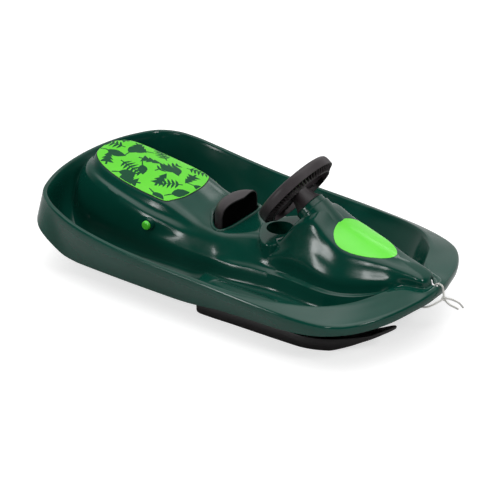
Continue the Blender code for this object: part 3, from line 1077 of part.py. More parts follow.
for side, word in ((1.0, "left"), (-1.0, "right")):
    spot = Vector((claw_face - CLAW_THICK, CLAW_SCREW_AT * side, claw_z))
    along = Matrix.Translation(spot) @ Matrix.Rotation(math.pi / 2.0, 4, "Y")
    cut(claw, "claw_hole_" + word, drum(CLAW_SCREW_RADIUS + FIT_GAP, -WALL, CLAW_THICK + WALL, SMALL_SIDES, along))
    cut(lever, "claw_thread_" + word, drum(CLAW_SCREW_RADIUS + FIT_GAP, 0.0, CLAW_THICK + WALL * 3, SMALL_SIDES, along))
    fixing = keep("claw_screw_" + word, drum(CLAW_SCREW_RADIUS, -WALL / 2.0, CLAW_THICK + WALL * 2.5, SMALL_SIDES, along), STEEL, spot)
    join(fixing, "claw_screw_head_" + word, drum(CLAW_SCREW_RADIUS * 2, -FIT_GAP - WALL * 0.8, -FIT_GAP, ROUND_SIDES, along))

# brake axle and its two caps
AXLE_END = 0.1330
CAP_IN = AXLE_BOSS_OUT + FIT_GAP
CAP_OUT = 0.1375
keep("brake_axle", drum(AXLE_RADIUS, -AXLE_END, AXLE_END, ROUND_SIDES, across_frame(BRAKE_AXIS)), STEEL, BRAKE_AXIS)
for side, word in ((1.0, "left"), (-1.0, "right")):
    turn = across_frame(BRAKE_AXIS) if side > 0 else Matrix.Translation(BRAKE_AXIS) @ Matrix.Rotation(math.pi / 2.0, 4, "X")
    rounded = CAP_OUT - WALL * 0.7
    cap = keep("axle_cap_" + word, drum(CAP_RADIUS, CAP_IN, rounded, ROUND_SIDES, turn), CAP_GREEN,
               BRAKE_AXIS + Vector((0.0, CAP_IN * side, 0.0)))
    join(cap, "cap_dome_" + word, drum(CAP_RADIUS, rounded - FIT_GAP, CAP_OUT, ROUND_SIDES, turn, CAP_RADIUS * 0.78))
    cut(cap, "cap_socket_" + word, drum(AXLE_RADIUS + FIT_GAP, CAP_IN - WALL, AXLE_END + FIT_GAP, SMALL_SIDES, turn))


# tow cord
def route(shares):
    """The cord's centre line: a smooth curve through the route's points, read at even steps."""
    fine = smooth_line([at(*row) for row in shares], CURVE_SAMPLES * 2, False)
    reach = [0.0]
    for a, b in zip(fine, fine[1:]):
        reach.append(reach[-1] + (b - a).length)
    steps = round(reach[-1] / (CORD_RADIUS * 2.0 * CORD_STEP_DIAMETERS))
    line = []
    j = 0
    for i in range(steps + 1):
        want = reach[-1] * i / steps
        while j < len(reach) - 2 and reach[j + 1] < want:
            j += 1
        line.append(fine[j].lerp(fine[j + 1], min(1.0, (want - reach[j]) / (reach[j + 1] - reach[j]))))
    return line


def cord(name, shares):
    """A capped round tube along its route."""
    line = route(shares)
    curve = bpy.data.curves.new(name, "CURVE")
    curve.dimensions = "3D"
    curve.bevel_depth = CORD_RADIUS
    curve.bevel_resolution = 2
    curve.use_fill_caps = True
    path = curve.splines.new("POLY")
    path.points.add(len(line) - 1)
    for spot, point in zip(path.points, line):
        spot.co = (*point, 1.0)
    curve.materials.append(CORD_WHITE)
    made = bpy.data.objects.new(name, curve)
    PARTS.objects.link(made)
    return made


cord("tow_cord", CORD_LOOP_shares)
knot_at = at(*KNOT_shares)
keep("cord_knot", ball(KNOT_RADIUS, knot_at, SMALL_SIDES), CORD_WHITE, knot_at)
cord("cord_end_lower", TAIL_ONE_shares)
cord("cord_end_upper", TAIL_TWO_shares)
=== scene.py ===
import math

import bmesh
import bpy
from mathutils import Matrix, Vector
from mathutils.bvhtree import BVHTree


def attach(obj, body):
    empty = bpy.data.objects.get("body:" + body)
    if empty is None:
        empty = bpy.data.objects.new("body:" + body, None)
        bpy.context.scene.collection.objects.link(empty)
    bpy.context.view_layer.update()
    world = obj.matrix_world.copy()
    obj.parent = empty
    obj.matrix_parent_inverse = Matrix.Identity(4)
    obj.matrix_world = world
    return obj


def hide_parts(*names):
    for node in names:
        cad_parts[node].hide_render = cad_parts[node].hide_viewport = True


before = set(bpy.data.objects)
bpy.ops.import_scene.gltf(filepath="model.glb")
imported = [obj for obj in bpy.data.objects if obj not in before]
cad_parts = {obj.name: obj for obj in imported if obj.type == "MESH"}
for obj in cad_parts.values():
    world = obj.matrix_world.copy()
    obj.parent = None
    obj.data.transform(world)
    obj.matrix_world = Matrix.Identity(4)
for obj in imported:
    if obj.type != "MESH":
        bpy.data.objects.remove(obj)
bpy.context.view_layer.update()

# The looks of the steering bobsled, in metres and in the frame of the CAD model:
# +X to the nose, +Y to the rider's left, +Z up.  The hull is lofted again from the plan curves
# of the CAD model, finer, and with a smoother foot line round the nose.  Places are written as
# shares (along, across, up) of these three sizes.
LENGTH, HALF_WIDTH, RIM_HEIGHT = 1.0, 0.28, 0.20
CORD_RADIUS = 0.0022
BRAID_LAY = 0.009        # the cord's strands come round once in this length
BRAID_STRANDS = 8

PLAN_CURVES = {
    # seat edge and hood crown edge
    "seat": [
        (-0.434, 0, 1.14), (-0.427, 0.1321, 1.133), (-0.408, 0.225, 1.11), (-0.37, 0.2821, 1.058),
        (-0.32, 0.3107, 1.002), (-0.26, 0.3214, 0.955), (-0.21, 0.3179, 0.92),
        (-0.175, 0.3036, 0.885), (-0.14, 0.2857, 0.82), (-0.1, 0.2857, 0.765), (-0.06, 0.3, 0.745),
        (-0.02, 0.3, 0.7375), (0.02, 0.25, 0.755), (0.05, 0.2071, 0.78), (0.09, 0.2071, 0.7825),
        (0.122, 0.2143, 0.8), (0.145, 0.2071, 0.93), (0.175, 0.1786, 1.11), (0.21, 0.1786, 1.155),
        (0.25, 0.2, 1.055), (0.3, 0.2179, 0.95), (0.35, 0.175, 0.915), (0.4, 0.1214, 0.875),
        (0.45, 0.0893, 0.83), (0.478, 0.0643, 0.8), (0.4825, 0, 0.795),
    ],
    # groove outside the seat, slope of the hood
    "groove": [
        (-0.447, 0, 1.055), (-0.439, 0.1464, 1.048), (-0.418, 0.2536, 1.025),
        (-0.38, 0.3161, 0.975), (-0.32, 0.3518, 0.91), (-0.26, 0.3679, 0.855),
        (-0.21, 0.3679, 0.805), (-0.165, 0.35, 0.76), (-0.12, 0.3357, 0.715), (-0.07, 0.3429, 0.7),
        (-0.02, 0.3464, 0.685), (0.03, 0.2857, 0.705), (0.06, 0.2607, 0.715),
        (0.09, 0.2571, 0.7175), (0.125, 0.2607, 0.74), (0.15, 0.2536, 0.825), (0.18, 0.2321, 0.95),
        (0.21, 0.2357, 0.97), (0.25, 0.2607, 0.89), (0.3, 0.2821, 0.805), (0.35, 0.2321, 0.79),
        (0.4, 0.1625, 0.785), (0.45, 0.1143, 0.775), (0.483, 0.0786, 0.76), (0.487, 0, 0.755),
    ],
    # ridge beside the seat, side edge of the hood
    "ridge": [
        (-0.461, 0, 0.995), (-0.454, 0.1607, 0.99), (-0.43, 0.2786, 0.98), (-0.39, 0.3482, 0.95),
        (-0.33, 0.3911, 0.89), (-0.27, 0.4161, 0.8225), (-0.22, 0.4232, 0.76), (-0.165, 0.4, 0.71),
        (-0.12, 0.3821, 0.655), (-0.07, 0.3821, 0.635), (-0.02, 0.3857, 0.61),
        (0.03, 0.3464, 0.615), (0.09, 0.3125, 0.63), (0.125, 0.3125, 0.66), (0.15, 0.3107, 0.695),
        (0.2, 0.3232, 0.71), (0.25, 0.3464, 0.69), (0.3, 0.3429, 0.66), (0.35, 0.2857, 0.67),
        (0.4, 0.2018, 0.7), (0.44, 0.128, 0.7175), (0.4855, 0.0729, 0.7175), (0.4895, 0, 0.7175),
    ],
    # top of the steep flank, foot of the hood side
    "valley": [
        (-0.469, 0, 0.945), (-0.4625, 0.1786, 0.91), (-0.441, 0.3143, 0.825), (-0.4, 0.3946, 0.71),
        (-0.33, 0.4339, 0.635), (-0.27, 0.4464, 0.595), (-0.22, 0.4464, 0.58),
        (-0.165, 0.4268, 0.575), (-0.12, 0.4179, 0.555), (-0.07, 0.4179, 0.54),
        (-0.02, 0.4214, 0.53), (0.03, 0.3964, 0.53), (0.09, 0.3625, 0.54), (0.125, 0.3429, 0.535),
        (0.15, 0.3304, 0.525), (0.2, 0.3393, 0.52), (0.25, 0.3589, 0.52), (0.3, 0.3554, 0.52),
        (0.35, 0.2982, 0.54), (0.4, 0.2143, 0.6), (0.43, 0.158, 0.67), (0.447, 0.125, 0.695),
        (0.4862, 0.0786, 0.6925), (0.4905, 0, 0.6925),
    ],
    # edge of the narrow ledge
    "ledge": [
        (-0.4735, 0, 0.92), (-0.4675, 0.1964, 0.86), (-0.4475, 0.3464, 0.71), (-0.41, 0.425, 0.56),
        (-0.34, 0.4554, 0.5), (-0.27, 0.4607, 0.485), (-0.2, 0.4589, 0.48), (-0.12, 0.4464, 0.475),
        (-0.02, 0.4429, 0.475), (0.03, 0.4339, 0.48), (0.09, 0.4036, 0.49), (0.15, 0.3786, 0.495),
        (0.2, 0.3857, 0.5), (0.25, 0.3982, 0.5), (0.3, 0.3857, 0.5), (0.35, 0.3286, 0.52),
        (0.4, 0.2357, 0.59), (0.427, 0.1696, 0.67), (0.447, 0.1325, 0.6925), (0.4872, 0.0829, 0.69),
        (0.4915, 0, 0.69),
    ],
    # foot of the flank
    "foot": [
        (-0.4765, 0, 0.91), (-0.4705, 0.2143, 0.8), (-0.452, 0.3679, 0.525), (-0.415, 0.4411, 0.35),
        (-0.34, 0.4714, 0.295), (-0.27, 0.4786, 0.285), (-0.2, 0.475, 0.285), (-0.12, 0.4643, 0.29),
        (-0.055, 0.4607, 0.295), (-0.02, 0.4571, 0.33), (0.03, 0.4518, 0.35), (0.09, 0.425, 0.36),
        (0.15, 0.4, 0.36), (0.2, 0.4071, 0.36), (0.25, 0.4179, 0.36), (0.3, 0.4036, 0.365),
        (0.35, 0.35, 0.39), (0.39, 0.2661, 0.49), (0.415, 0.2107, 0.62), (0.43, 0.175, 0.675),
        (0.447, 0.14, 0.691), (0.4882, 0.0886, 0.688), (0.4923, 0, 0.688),
    ],
    # inner edge of the footwell floor
    "floor_in": [
        (-0.4785, 0, 0.905), (-0.4722, 0.2286, 0.75), (-0.453, 0.3964, 0.43),
        (-0.42, 0.4732, 0.285), (-0.34, 0.5071, 0.23), (-0.27, 0.5143, 0.225),
        (-0.2, 0.5107, 0.225), (-0.12, 0.5, 0.225), (-0.055, 0.4964, 0.23), (-0.02, 0.4929, 0.27),
        (0.03, 0.4875, 0.28), (0.09, 0.4607, 0.29), (0.15, 0.4357, 0.29), (0.2, 0.4429, 0.29),
        (0.25, 0.4536, 0.29), (0.3, 0.4357, 0.3), (0.35, 0.3821, 0.335), (0.388, 0.3036, 0.435),
        (0.41, 0.2464, 0.56), (0.426, 0.1964, 0.665), (0.447, 0.146, 0.69), (0.489, 0.0943, 0.687),
        (0.493, 0, 0.6865),
    ],
    # outer edge of the footwell floor
    "floor_out": [
        (-0.4802, 0, 0.9075), (-0.4745, 0.2571, 0.75), (-0.459, 0.4679, 0.45),
        (-0.435, 0.6143, 0.31), (-0.4, 0.6893, 0.25), (-0.34, 0.7143, 0.23), (-0.2, 0.7143, 0.225),
        (-0.05, 0.7107, 0.225), (0.1, 0.6929, 0.235), (0.2, 0.6643, 0.25), (0.28, 0.6214, 0.265),
        (0.33, 0.5607, 0.29), (0.368, 0.4571, 0.34), (0.394, 0.3536, 0.45), (0.412, 0.2714, 0.58),
        (0.428, 0.2071, 0.67), (0.448, 0.152, 0.69), (0.4897, 0.1, 0.6865), (0.4936, 0, 0.686),
    ],
    # foot of the outer wall
    "wall_low": [
        (-0.4822, 0, 0.915), (-0.4765, 0.2857, 0.78), (-0.4625, 0.5143, 0.51),
        (-0.44, 0.6714, 0.395), (-0.405, 0.7482, 0.335), (-0.34, 0.775, 0.305),
        (-0.2, 0.775, 0.285), (-0.05, 0.7714, 0.285), (0.1, 0.7536, 0.295), (0.2, 0.7179, 0.31),
        (0.28, 0.6714, 0.33), (0.335, 0.6018, 0.355), (0.376, 0.4857, 0.41), (0.4, 0.3714, 0.52),
        (0.4165, 0.2786, 0.625), (0.434, 0.2025, 0.6825), (0.45, 0.158, 0.691),
        (0.4904, 0.1057, 0.687), (0.4942, 0, 0.686),
    ],
    # top of the outer wall
    "wall_top": [
        (-0.4862, 0, 0.935), (-0.4812, 0.3107, 0.9), (-0.4645, 0.5446, 0.865),
        (-0.437, 0.7393, 0.84), (-0.399, 0.8429, 0.815), (-0.355, 0.8964, 0.7675),
        (-0.3, 0.9268, 0.71), (-0.2, 0.9375, 0.645), (-0.1, 0.9339, 0.605), (0, 0.9268, 0.58),
        (0.1, 0.9143, 0.565), (0.2, 0.8839, 0.57), (0.28, 0.825, 0.59), (0.34, 0.7321, 0.605),
        (0.385, 0.5607, 0.62), (0.408, 0.4, 0.64), (0.4215, 0.2964, 0.6675), (0.436, 0.2125, 0.69),
        (0.4515, 0.165, 0.694), (0.4912, 0.1114, 0.688), (0.4948, 0, 0.6865),
    ],
    # inner edge of the rim and of the front deck
    "edge_in": [
        (-0.4905, 0, 0.9625), (-0.4855, 0.3196, 0.9525), (-0.469, 0.5554, 0.939),
        (-0.4415, 0.7536, 0.925), (-0.403, 0.8607, 0.9), (-0.357, 0.9186, 0.854),
        (-0.3, 0.9518, 0.7925), (-0.2, 0.9643, 0.72), (-0.1, 0.9607, 0.6775), (0, 0.9536, 0.6525),
        (0.1, 0.9429, 0.635), (0.2, 0.9143, 0.64), (0.28, 0.8607, 0.659), (0.345, 0.7607, 0.6725),
        (0.39, 0.5821, 0.679), (0.412, 0.4143, 0.686), (0.4245, 0.3071, 0.696),
        (0.4385, 0.24, 0.70), (0.4535, 0.187, 0.70), (0.4922, 0.1288, 0.689), (0.4956, 0, 0.687),
    ],
    # outer edge of the rim and of the front deck
    "edge_out": [
        (-0.5, 0, 0.9625), (-0.4938, 0.3286, 0.9525), (-0.477, 0.5714, 0.939),
        (-0.4485, 0.775, 0.925), (-0.408, 0.8893, 0.9), (-0.36, 0.95, 0.854),
        (-0.3, 0.9846, 0.7925), (-0.2, 0.9982, 0.72), (-0.1, 0.9946, 0.675), (0, 0.9875, 0.65),
        (0.1, 0.9839, 0.6325), (0.2, 0.9786, 0.6075), (0.3, 0.9589, 0.58), (0.36, 0.9179, 0.5675),
        (0.397, 0.8643, 0.57), (0.432, 0.7643, 0.585), (0.472, 0.5357, 0.6175),
        (0.497, 0.2607, 0.6475), (0.5055, 0.125, 0.665), (0.508, 0, 0.6725),
    ],
    # lower edge of the turned-down skirt
    "skirt": [
        (-0.509, 0, 0.675), (-0.503, 0.35, 0.6625), (-0.487, 0.6071, 0.645), (-0.459, 0.8179, 0.62),
        (-0.425, 0.9429, 0.58), (-0.398, 0.9804, 0.52), (-0.38, 0.95, 0.4), (-0.36, 0.9107, 0.285),
        (-0.33, 0.8893, 0.23), (-0.28, 0.8804, 0.2125), (-0.2, 0.8768, 0.205), (-0.1, 0.875, 0.205),
        (0, 0.8786, 0.22), (0.1, 0.8982, 0.295), (0.2, 0.9179, 0.34), (0.27, 0.9304, 0.3675),
        (0.34, 0.9214, 0.41), (0.385, 0.8786, 0.445), (0.43, 0.7643, 0.475), (0.472, 0.5321, 0.51),
        (0.497, 0.2571, 0.55), (0.506, 0.125, 0.565), (0.5085, 0, 0.575),
    ],
}
# crest of the moulding on the centre line, (along, up)
CREST = [
    (-0.36, 1.095), (-0.3, 1.048), (-0.26, 1.015), (-0.21, 0.975), (-0.175, 0.935), (-0.14, 0.85),
    (-0.1, 0.785), (-0.06, 0.755), (-0.02, 0.74), (0.02, 0.755), (0.05, 0.78), (0.09, 0.7825),
    (0.12, 0.79), (0.138, 0.91), (0.165, 1.12), (0.185, 1.21), (0.21, 1.205), (0.25, 1.12),
    (0.3, 1.035), (0.35, 0.965), (0.4, 0.9),
]
# The plan curves from the middle outwards, and how many steps each gap of a section gets: to
# every curve in turn, then over the deck, round the rim and down the skirt.
CURVE_ORDER = ["seat", "groove", "ridge", "valley", "ledge", "foot", "floor_in", "floor_out",
               "wall_low", "wall_top", "edge_in"]
SPLITS = [3, 3, 3, 3, 3, 3, 2, 2, 4, 3, 5, 3, 2, 3, 3, 3, 4]
STATIONS = 141
SAMPLES = 16
# how close the sections stand, by their share of the length
CLOSENESS = [
    (-0.52, 1.00), (-0.38, 1.10), (-0.32, 0.75), (0.00, 0.80), (0.09, 1.50), (0.28, 1.50),
    (0.34, 1.20), (0.52, 1.20),
]
SEAT_LABEL = [
    (-0.4400, 0.0000), (-0.4360, 0.0750), (-0.4230, 0.1680), (-0.4010, 0.2340), (-0.3700, 0.2740),
    (-0.3200, 0.3040), (-0.2700, 0.3150), (-0.2250, 0.3150), (-0.1950, 0.3060), (-0.1830, 0.2920),
    (-0.1745, 0.2500), (-0.1640, 0.1250), (-0.1610, 0.0000),
]
HOOD_LABEL = [
    (0.2530, 0.0000), (0.2530, 0.0600), (0.2560, 0.1150), (0.2630, 0.1640), (0.2740, 0.2000),
    (0.2880, 0.2140), (0.3160, 0.2040), (0.3450, 0.1740), (0.3680, 0.1320), (0.3850, 0.0850),
    (0.3950, 0.0350), (0.3970, 0.0000),
]
BRAKE_OPENING = [
    (-0.0930, 0.0000), (-0.0925, 0.0357), (-0.0900, 0.0714), (-0.0850, 0.1071), (-0.0780, 0.1411),
    (-0.0695, 0.1786), (-0.0565, 0.2339), (-0.0460, 0.2636), (-0.0370, 0.2750), (-0.0300, 0.2714),
    (-0.0250, 0.2518), (-0.0232, 0.2214), (-0.0220, 0.1429), (-0.0216, 0.0000),
]
CUP_PLATE = [
    (0.0370, 0.0000), (0.0394, 0.0271), (0.0445, 0.0786), (0.0519, 0.1336), (0.0605, 0.1786),
    (0.0701, 0.2236), (0.0795, 0.2561), (0.0891, 0.2829), (0.0970, 0.2993), (0.1048, 0.3093),
    (0.1145, 0.3064), (0.1221, 0.2914), (0.1266, 0.2661), (0.1283, 0.2350), (0.1320, 0.1607),
    (0.1320, 0.0000),
]
FOOTREST = [
    (-0.0375, 0.4036), (-0.0360, 0.4929), (-0.0240, 0.6357), (-0.0150, 0.6661), (0.0000, 0.6786),
    (0.1500, 0.6732), (0.1900, 0.6571), (0.2150, 0.6143), (0.2320, 0.5536), (0.2400, 0.4821),
    (0.2420, 0.4036),
]
FOOTREST_DIP = [
    (0.0040, 0.5357), (0.0100, 0.5143), (0.0200, 0.5054), (0.1650, 0.5000), (0.1780, 0.5107),
    (0.1850, 0.5357), (0.1850, 0.5857), (0.1780, 0.6179), (0.1650, 0.6321), (0.0200, 0.6393),
    (0.0100, 0.6304), (0.0040, 0.6071),
]
# (along, outer side, inner side, underside, top edge)
SKI_ROWS = [
    (-0.0050, 0.7179, 0.5071, 0.0400, 0.1000), (0.0000, 0.7429, 0.4786, 0.0150, 0.1300),
    (0.0100, 0.7464, 0.4714, 0.0000, 0.1500), (0.0500, 0.7429, 0.4679, 0.0000, 0.1500),
    (0.1000, 0.7321, 0.4643, 0.0000, 0.1500), (0.1500, 0.7250, 0.4589, 0.0000, 0.1500),
    (0.2000, 0.7179, 0.4536, 0.0000, 0.1500), (0.2400, 0.7107, 0.4429, 0.0000, 0.1500),
    (0.2800, 0.7000, 0.4214, 0.0000, 0.1500), (0.3100, 0.6696, 0.4000, 0.0000, 0.1500),
    (0.3400, 0.6143, 0.3714, 0.0000, 0.1520), (0.3600, 0.5607, 0.3500, 0.0250, 0.1560),
    (0.3800, 0.5143, 0.3321, 0.0650, 0.1680), (0.4000, 0.4821, 0.3143, 0.1200, 0.1960),
    (0.4200, 0.4500, 0.2964, 0.1750, 0.2330), (0.4400, 0.4000, 0.2857, 0.2350, 0.2830),
    (0.4520, 0.3571, 0.2893, 0.2700, 0.3120), (0.4580, 0.3286, 0.3000, 0.2900, 0.3230),
]


# ---- materials
def linear(code):
    """A colour written as hex, turned into Blender's linear numbers."""
    out = []
    for i in (0, 2, 4):
        c = int(code[i:i + 2], 16) / 255.0
        out.append(c / 12.92 if c <= 0.04045 else ((c + 0.055) / 1.055) ** 2.4)
    return (*out, 1.0)


def node(tree, kind, inputs=(), **settings):
    """Adds one shader node, sets its properties, and its inputs by value or by link."""
    made = tree.nodes.new(kind)
    for name, value in settings.items():
        setattr(made, name, value)
    for key, value in dict(inputs).items():
        if isinstance(value, bpy.types.NodeSocket):
            tree.links.new(value, made.inputs[key])
        else:
            made.inputs[key].default_value = value
    return made


def blank(name):
    mat = bpy.data.materials.new(name)
    mat.use_nodes = True
    return mat, mat.node_tree, mat.node_tree.nodes["Principled BSDF"]


PER_METRE = 1000.0       # over a pattern's size in millimetres, this is its texture's scale
CLOUD_MM = 142.9         # where a thick wall cooled unevenly
POLISH_MM = 38.46        # patches of more and less polish
SPANGLE_MM = 3.846       # crystals of the zinc
PLATING_MM = 11.11


def patches(tree, place, size_mm, detail, low, high, crisp=0.5):
    """A value that wanders between low and high, in patches of this size."""
    cloud = node(tree, "ShaderNodeTexNoise", {"Vector": place, "Scale": PER_METRE / size_mm,
                                              "Detail": detail, "Roughness": crisp})
    return node(tree, "ShaderNodeMapRange", {
        "Value": cloud.outputs["Fac"], "From Min": 0.3, "From Max": 0.7,
        "To Min": low, "To Max": high}).outputs["Result"]


def give_grain(tree, shader, place, size_mm, strength, depth):
    """A fine grain all over the surface."""
    grain = node(tree, "ShaderNodeTexNoise", {"Vector": place, "Scale": PER_METRE / size_mm,
                                              "Detail": 2.0, "Roughness": 0.5})
    bump = node(tree, "ShaderNodeBump", {"Height": grain.outputs["Fac"], "Strength": strength,
                                         "Distance": depth})
    tree.links.new(bump.outputs["Normal"], shader.inputs["Normal"])


def give_colour(tree, shader, share, first, second):
    """Two hex colours, blended by a share that varies over the surface."""
    mix = node(tree, "ShaderNodeMix", {0: share, 6: linear(first), 7: linear(second)},
               data_type="RGBA")
    tree.links.new(mix.outputs[2], shader.inputs["Base Color"])


def moulded(name, base, second, rough, grain_mm, grain, coat=0.0, specular=0.5):
    """Moulded or printed plastic: faint clouding, a fine surface grain and uneven gloss."""
    mat, tree, shader = blank(name)
    place = node(tree, "ShaderNodeTexCoord").outputs["Object"]
    give_colour(tree, shader, patches(tree, place, CLOUD_MM, 4.0, 0.0, 1.0), base, second)
    tree.links.new(patches(tree, place, POLISH_MM, 5.0, *rough, crisp=0.6),
                   shader.inputs["Roughness"])
    give_grain(tree, shader, place, grain_mm, grain, 0.0004)
    shader.inputs["Coat Weight"].default_value = coat
    shader.inputs["Coat Roughness"].default_value = 0.06
    shader.inputs["Specular IOR Level"].default_value = specular
    return mat


def plated(name, base, second, rough, grain_mm):
    """Zinc-plated steel: spangled brightness, uneven polish and a fine grain."""
    mat, tree, shader = blank(name)
    place = node(tree, "ShaderNodeTexCoord").outputs["Object"]
    cells = node(tree, "ShaderNodeTexVoronoi", {"Vector": place, "Scale": PER_METRE / SPANGLE_MM})
    grey = node(tree, "ShaderNodeRGBToBW", {0: cells.outputs["Color"]}).outputs[0]
    give_colour(tree, shader, grey, base, second)
    tree.links.new(patches(tree, place, PLATING_MM, 3.0, *rough), shader.inputs["Roughness"])
    give_grain(tree, shader, place, grain_mm, 0.08, 0.0002)
    shader.inputs["Metallic"].default_value = 1.0
    return mat


def braided(name, shade, base):
    """Two crossing sets of strands round the tube, read from its own UVs, with painted shade in the
    grooves between them.
    """
    mat, tree, shader = blank(name)
    uv = node(tree, "ShaderNodeTexCoord").outputs["UV"]
    parts = node(tree, "ShaderNodeSeparateXYZ", {0: uv})
    sets = []
    for way in (1.0, -1.0):
        turn = node(tree, "ShaderNodeMath", {0: parts.outputs[0], 1: BRAID_STRANDS * way},
                    operation="MULTIPLY")
        both = node(tree, "ShaderNodeMath", {0: turn.outputs[0], 1: parts.outputs[1]},
                    operation="ADD")
        wave = node(tree, "ShaderNodeMath", {0: both.outputs[0], 1: math.tau},
                    operation="MULTIPLY")
        sets.append(node(tree, "ShaderNodeMath", {0: wave.outputs[0]}, operation="SINE"))
    strand = node(tree, "ShaderNodeMath", {0: sets[0].outputs[0], 1: sets[1].outputs[0]},
                  operation="MAXIMUM").outputs[0]
    share = node(tree, "ShaderNodeMapRange", {"Value": strand, "From Min": -0.2, "From Max": 0.9,
                                              "To Min": 0.0, "To Max": 1.0}).outputs["Result"]
    # painted shade: the grey where the strands run apart stands in for the shadow in the grooves
    give_colour(tree, shader, share, shade, base)
    bump = node(tree, "ShaderNodeBump", {"Height": strand, "Strength": 0.6, "Distance": 0.0004})
    tree.links.new(bump.outputs["Normal"], shader.inputs["Normal"])
    shader.inputs["Roughness"].default_value = 0.75
    shader.inputs["Sheen Weight"].default_value = 0.3
    return mat


# The real grain of these mouldings is 0.1 to 0.3 mm, finer than a pixel of the render.  It is
# drawn 0.7 to 2 mm coarse and shallow, so that it shows as slightly broken highlights.

# Polyethylene from a polished mould: deep green with a wet gloss, faintly clouded.
HULL_GREEN = moulded("glossy_green_polyethylene", "063e32", "084539", (0.12, 0.20), 1.923, 0.05,
                     specular=0.36)
# Painted shade: the same plastic, coloured darker in the narrow recess round the seat label, where
# hardly any light gets in.
SHADOW_GREEN = moulded("painted_shade_seat_label_edge", "021a14", "03211a", (0.35, 0.45), 1.923, 0.05,
                       specular=0.2)
# Vinyl film: an even, bright lime with a satin sheen.
LIME = moulded("lime_printed_vinyl", "5fdc28", "6be231", (0.30, 0.42), 1.111, 0.04, specular=0.3)
# Screen ink on that film: dark green, duller than the film round it.
PRINT = moulded("dark_green_print", "064a2c", "085030", (0.40, 0.52), 1.111, 0.04, specular=0.15)
# Unprinted film on the hood: brighter, and glossier than the seat's.
BRIGHT = moulded("bright_green_vinyl", "6aec3c", "78f24a", (0.16, 0.24), 1.111, 0.03, specular=0.4)
# Polypropylene from an eroded mould: warm charcoal with a dull, broken gloss.
BLACK = moulded("charcoal_polypropylene", "2b2628", "30292c", (0.38, 0.50), 0.6667, 0.16,
                specular=0.4)
# Painted shade: the inside of the brake scoop, the same charcoal plastic coloured near black as if
# in shadow, and dry.
SCOOP_INSIDE_PAINTED_SHADE = moulded("charcoal_polypropylene_painted_shade", "0b0a0b", "0e0c0d", (0.70, 0.85),
                       1.111, 0.10, specular=0.12)
# Polyethylene of the skis: black and waxy.
SKI_BLACK = moulded("black_ski_polyethylene", "1d1b1b", "252223", (0.36, 0.5), 0.9091, 0.14)
# Polypropylene of the push-on caps: lime with a thin clear gloss.
CAP_GREEN = moulded("lime_polypropylene", "54d634", "5fe03c", (0.25, 0.35), 0.8333, 0.06, coat=0.2)
# Turned acetal of the bushes: milky, smooth.
ACETAL = moulded("natural_acetal", "e6e4da", "dddbd0", (0.35, 0.45), 0.8333, 0.05)
# Drawn and cut steel, zinc plated: pale grey metal with a spangle.
STEEL = plated("zinc_plated_steel", "9a9da3", "c9cbd0", (0.22, 0.42), 1.429)
# Polyester cord: white, matt, with the strands of the braid across each other, and painted shade
# between them.
CORD = braided("white_braided_polyester", "b9b8b2", "f4f3ee")


# ---- mesh helpers
def at(along, across, up):
    return Vector((along * LENGTH, across * HALF_WIDTH, up * RIM_HEIGHT))


def new_piece(name, bm, mat):
    """A bmesh becomes an object with its material."""
    mesh = bpy.data.meshes.new(name)
    bm.to_mesh(mesh)
    bm.free()
    mesh.materials.append(mat)
    piece = bpy.data.objects.new(name, mesh)
    bpy.context.scene.collection.objects.link(piece)
    return piece


def put_back(piece, bm, *mats):
    """A bmesh takes the place of a piece's mesh."""
    old = piece.data
    mesh = bpy.data.meshes.new(piece.name)
    bm.to_mesh(mesh)
    bm.free()
    piece.data = mesh
    for mat in mats:
        mesh.materials.append(mat)
    bpy.data.meshes.remove(old)


def hand_over(piece, body, sharp, replaces=()):
    """Smooth shading, sharp past an angle; then the body, and the CAD nodes that it replaces are
    hidden.
    """
    piece.data.shade_smooth()
    piece.data.set_sharp_from_angle(angle=math.radians(sharp))
    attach(piece, body)
    if replaces:
        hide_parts(*replaces)


def bake(piece):
    """Applies a piece's modifiers."""
    graph = bpy.context.evaluated_depsgraph_get()
    graph.update()
    mesh = bpy.data.meshes.new_from_object(piece.evaluated_get(graph))
    piece.modifiers.clear()
    old = piece.data
    piece.data = mesh
    bpy.data.meshes.remove(old)


def cut_with(piece, bm, how="DIFFERENCE", crossing_parts=False):
    bmesh.ops.recalc_face_normals(bm, faces=bm.faces)
    mesh = bpy.data.meshes.new("cutter")
    bm.to_mesh(mesh)
    bm.free()
    cutter = bpy.data.objects.new("cutter", mesh)
    bpy.context.scene.collection.objects.link(cutter)
    step = piece.modifiers.new("cut", "BOOLEAN")
    step.operation, step.solver, step.object = how, "EXACT", cutter
    step.use_self = crossing_parts
    bake(piece)
    bpy.data.objects.remove(cutter, do_unlink=True)
    bpy.data.meshes.remove(mesh)


def merge(target, extra):
    """Adds one bmesh's faces to another."""
    mesh = bpy.data.meshes.new("piece")
    extra.to_mesh(mesh)
    extra.free()
    target.from_mesh(mesh)
    bpy.data.meshes.remove(mesh)


def bridge(bm, rings):
    """Faces from each closed ring of vertices to the next."""
    for a, b in zip(rings, rings[1:]):
        for k in range(len(a)):
            n = (k + 1) % len(a)
            bm.faces.new((a[k], a[n], b[n], b[k]))


def fill_between(bm, outer, inner):
    """A flat face with a hole in it, as triangles between two rings."""
    edges = []
    for ring in (outer, inner):
        for k in range(len(ring)):
            pair = (ring[k], ring[(k + 1) % len(ring)])
            edges.append(bm.edges.get(pair) or bm.edges.new(pair))
    bmesh.ops.triangle_fill(bm, use_beauty=True, edges=edges)


def round_edges(bm, width, steps):
    bmesh.ops.bevel(bm, geom=list(bm.edges), offset=width, segments=steps, affect="EDGES",
                    profile=0.5)


